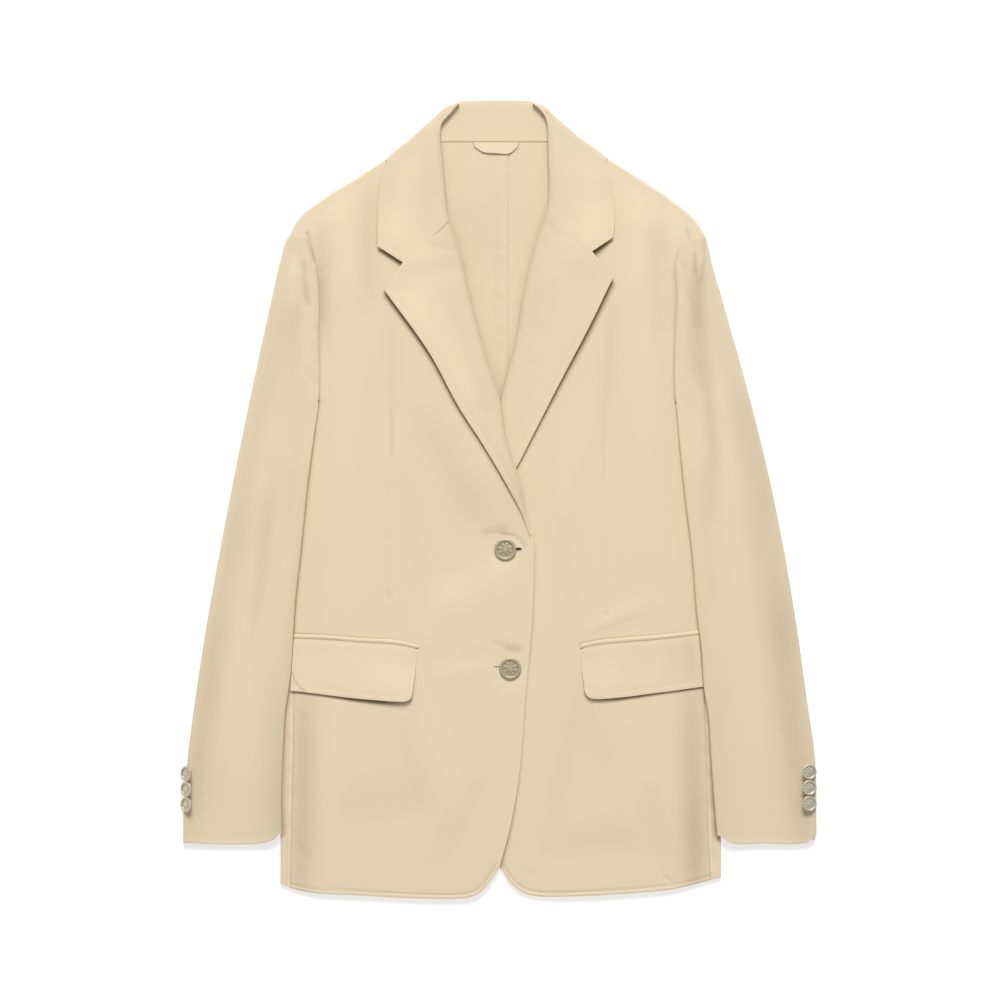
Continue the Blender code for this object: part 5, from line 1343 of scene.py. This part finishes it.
def buttonPiece(name, look, place, turn, lean=0):
    # the profile (radius, height) turned about Z, its face lifted by a ring of petals and a beaded rim
    size, top, steps = look["diameter"] / 2, look["shank"] + look["thickness"], look["steps"]
    profile = buttonProfile(size, look["thickness"], look["shank"])
    step = np.arange(steps)
    radius, angle = np.meshgrid(profile[1:-1, 0], step * 2 * math.pi / steps, indexing="ij")
    base, share = profile[1:-1, 1:2], radius / size
    high, inward, width = buttonLook["petalRing"]
    petals = np.cos(buttonLook["petals"] * (angle + turn))
    relief = high * petals * bell(share, inward, width)
    high, inward, width = buttonLook["beadRing"]
    relief = relief + high * np.cos(buttonLook["beads"] * (angle + turn)) * bell(share, inward, width)
    height = base + relief * (base > top - buttonLook["faceDepth"])
    deep, inward, width = buttonLook["gaps"]
    dark = beads(share, buttonLook["darkRings"]) + deep * (0.5 - 0.5 * petals) * bell(share, inward, width)
    # painted shade on the outer rim, against its highlight, and on the underside
    dark = dark + buttonLook["rimShade"] * ramp(share, buttonLook["outsideFrom"])
    dark = np.clip(np.where(base > top - buttonLook["underDepth"], dark, buttonLook["underShade"]), 0, 1)
    rings = np.stack([radius * np.cos(angle), radius * np.sin(angle), height], axis=-1).reshape(-1, 3)
    points = np.concatenate([[[0, 0, profile[0, 1]]], rings, [[0, 0, profile[-1, 1]]]])
    count, after = len(profile) - 2, (step + 1) % steps
    start = 1 + np.arange(count - 1)[:, None] * steps
    quads = np.stack([start + step, start + steps + step, start + steps + after, start + after], axis=-1)
    middle, last = np.zeros(steps, int), 1 + (count - 1) * steps
    cap = np.stack([middle, 1 + step, 1 + after], axis=-1)
    foot = np.stack([middle + len(points) - 1, last + after, last + step], axis=-1)
    dark = np.concatenate([[0.0], dark.reshape(-1), [buttonLook["underShade"]]])
    tilt = math.radians(lean)
    x, z = points[:, 0].copy(), points[:, 2].copy()
    points[:, 0] = x * math.cos(tilt) + z * math.sin(tilt)
    points[:, 2] = z * math.cos(tilt) - x * math.sin(tilt)
    faces = quads.reshape(-1, 4).tolist() + cap.tolist() + foot.tolist()
    mesh = newMesh(name + "_metal", points + np.array(place), faces, dark)
    settle(name + "_metal", mesh, look["metal"], name)


buttonholes = {
    "button_upper": {"from": (9, -48.8), "to": (21.8, -48.4), "width": 3.7},
    "button_lower": {"from": (7, -163.8), "to": (-5.6, -161.8), "width": 1.5},
}
holeLook = {"lip": 0.45, "stitch": 0.05, "stitchTurn": 1.9, "lipRise": 0.22, "threadGap": 0.05, "slitGap": 0.09,
            "slitWall": 0.1, "squareness": 0.35, "endLean": 0.12}


def buttonholePiece(name):  # a flat loop of worked thread round a slit: a lip whose section is a half round, and a dark sheet of painted shade in the slit
    hole, look = buttonholes[name], holeLook
    start, end = np.array(hole["from"], float), np.array(hole["to"], float)
    middle, half = (start + end) / 2, np.linalg.norm(end - start) / 2
    ahead = unit(end - start)
    aside = np.array([-ahead[1], ahead[0]])
    turn = np.linspace(0.0, 2 * math.pi, 97)[:-1]
    along = np.sign(np.cos(turn)) * abs(np.cos(turn)) ** look["squareness"] * half
    loop = middle + np.outer(along, ahead) + np.outer(np.sin(turn) * hole["width"] / 2, aside)
    loop = np.concatenate([loop, loop[:1]])
    outward = loop - middle
    outward = unit(np.outer(outward @ aside, aside) + look["endLean"] * np.outer(outward @ ahead, ahead))
    section = np.linspace(0.0, 2 * math.pi, 9)
    wide = look["lip"] + look["stitch"] * np.cos(np.arange(len(loop)) * look["stitchTurn"])
    lip = loop[:, None] + outward[:, None] * (wide[:, None] * np.cos(section))[..., None]
    inside = middle + (loop[:, None] - middle) * np.linspace(0.0, 1.0, 5)[None, :, None]
    title = name.replace("button", "buttonhole")
    for kind, flat, rise, way in (
        ("thread", lip, look["threadGap"] + look["lipRise"] * np.sin(section)[None, :], 1),
        ("slitShade", inside, look["slitGap"], -1),
    ):
        grid = raised(flat, frontHeight(flat[..., 0], flat[..., 1], "right") + layers["wall"] / 2 + rise)
        faces = gridFaces(*grid.shape[:2])[:, ::way].tolist()
        mesh = newMesh(f"{title}_{kind}", grid.reshape(-1, 3), faces, np.zeros(grid.size // 3))
        piece = settle(f"{title}_{kind}", mesh, kind, None)
        if kind == "slitShade":
            walled(piece, look["slitWall"], -1.0)


# the blazer

for side in ("right", "left"):
    backPiece(side)
    sidePiece(side)
    frontPiece(side)
    lapelPiece(side)
    sleeveTopPiece(side)
    sleeveUnderPiece(side)
    flapPiece(side, weltPiece(side))
collarPiece()
loopPiece()
print("cloth pieces made")

for name, spot in frontButtons.items():
    buttonPiece(name, frontButton, spot["place"], spot["turn"])
    buttonholePiece(name)
for side, spot in cuffButtons.items():
    for number, y in enumerate(spot["rows"], 1):
        buttonPiece(f"cuff_button_{side}_{number}", cuffButton, (spot["x"], y, spot["z"]),
                    number * cuffButton["turn"], spot["lean"])
print("buttons made")


# studio, in metres

studio = {
    "viewWidth": 0.97, "cameraHeight": 3.2, "middle": (0.0005, -0.001), "sensor": 36.0, "clip": (0.05, 50.0),
    "keyPower": 1090.0, "keyPlace": (0.0, 8.45, 6.7), "keySize": 4.0, "keyColour": (0.985, 0.995, 1.0),
    "skyStrength": 0.44, "floorReach": 4.0, "floorDrop": 0.0003, "floorColour": 0.52, "floorRoughness": 0.9,
    "floorGlow": 0.58,
}


def placed(name, data, place):
    thing = bpy.data.objects.new(name, data)
    thing.location = place
    bpy.context.scene.collection.objects.link(thing)
    return thing


def makeStudio():
    scene = bpy.context.scene
    camera = bpy.data.cameras.new("camera")
    camera.sensor_width = studio["sensor"]
    camera.lens = camera.sensor_width * studio["cameraHeight"] / studio["viewWidth"]
    camera.clip_start, camera.clip_end = studio["clip"]
    scene.camera = placed("camera", camera, (*studio["middle"], studio["cameraHeight"]))

    key = bpy.data.lights.new("window_light", "AREA")
    key.energy, key.size, key.color = studio["keyPower"], studio["keySize"], studio["keyColour"]
    lamp = placed("window_light", key, studio["keyPlace"])
    lamp.rotation_euler = (Vector() - Vector(studio["keyPlace"])).to_track_quat("-Z", "Y").to_euler()

    world = bpy.data.worlds.new("soft_room")
    world.use_nodes = True
    sky = world.node_tree.nodes["Background"]
    sky.inputs["Color"].default_value = (1.0, 1.0, 1.0, 1.0)
    sky.inputs["Strength"].default_value = studio["skyStrength"]
    scene.world = world
    scene.view_settings.view_transform = "Standard"

    corners = np.array([(-1, -1, 0), (1, -1, 0), (1, 1, 0), (-1, 1, 0)]) * studio["floorReach"]
    mesh = newMesh("floor", (corners - [0, 0, studio["floorDrop"]]) / mm, [[0, 1, 2, 3]], np.zeros(4))
    material, _, shader = newMaterial("pale_floor")
    shader.inputs["Base Color"].default_value = (*[studio["floorColour"]] * 3, 1.0)
    shader.inputs["Roughness"].default_value = studio["floorRoughness"]
    shader.inputs["Specular IOR Level"].default_value = 0.0
    shader.inputs["Emission Color"].default_value = (1.0, 1.0, 1.0, 1.0)
    shader.inputs["Emission Strength"].default_value = studio["floorGlow"]
    mesh.materials.append(material)
    placed("floor", mesh, (0.0, 0.0, 0.0))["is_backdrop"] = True


makeStudio()
print("studio made")

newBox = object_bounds()
for title, box in (("solids", cadBox), ("scene", newBox)):
    print(title, [round((b - a) / mm, 1) for a, b in zip(*box)])
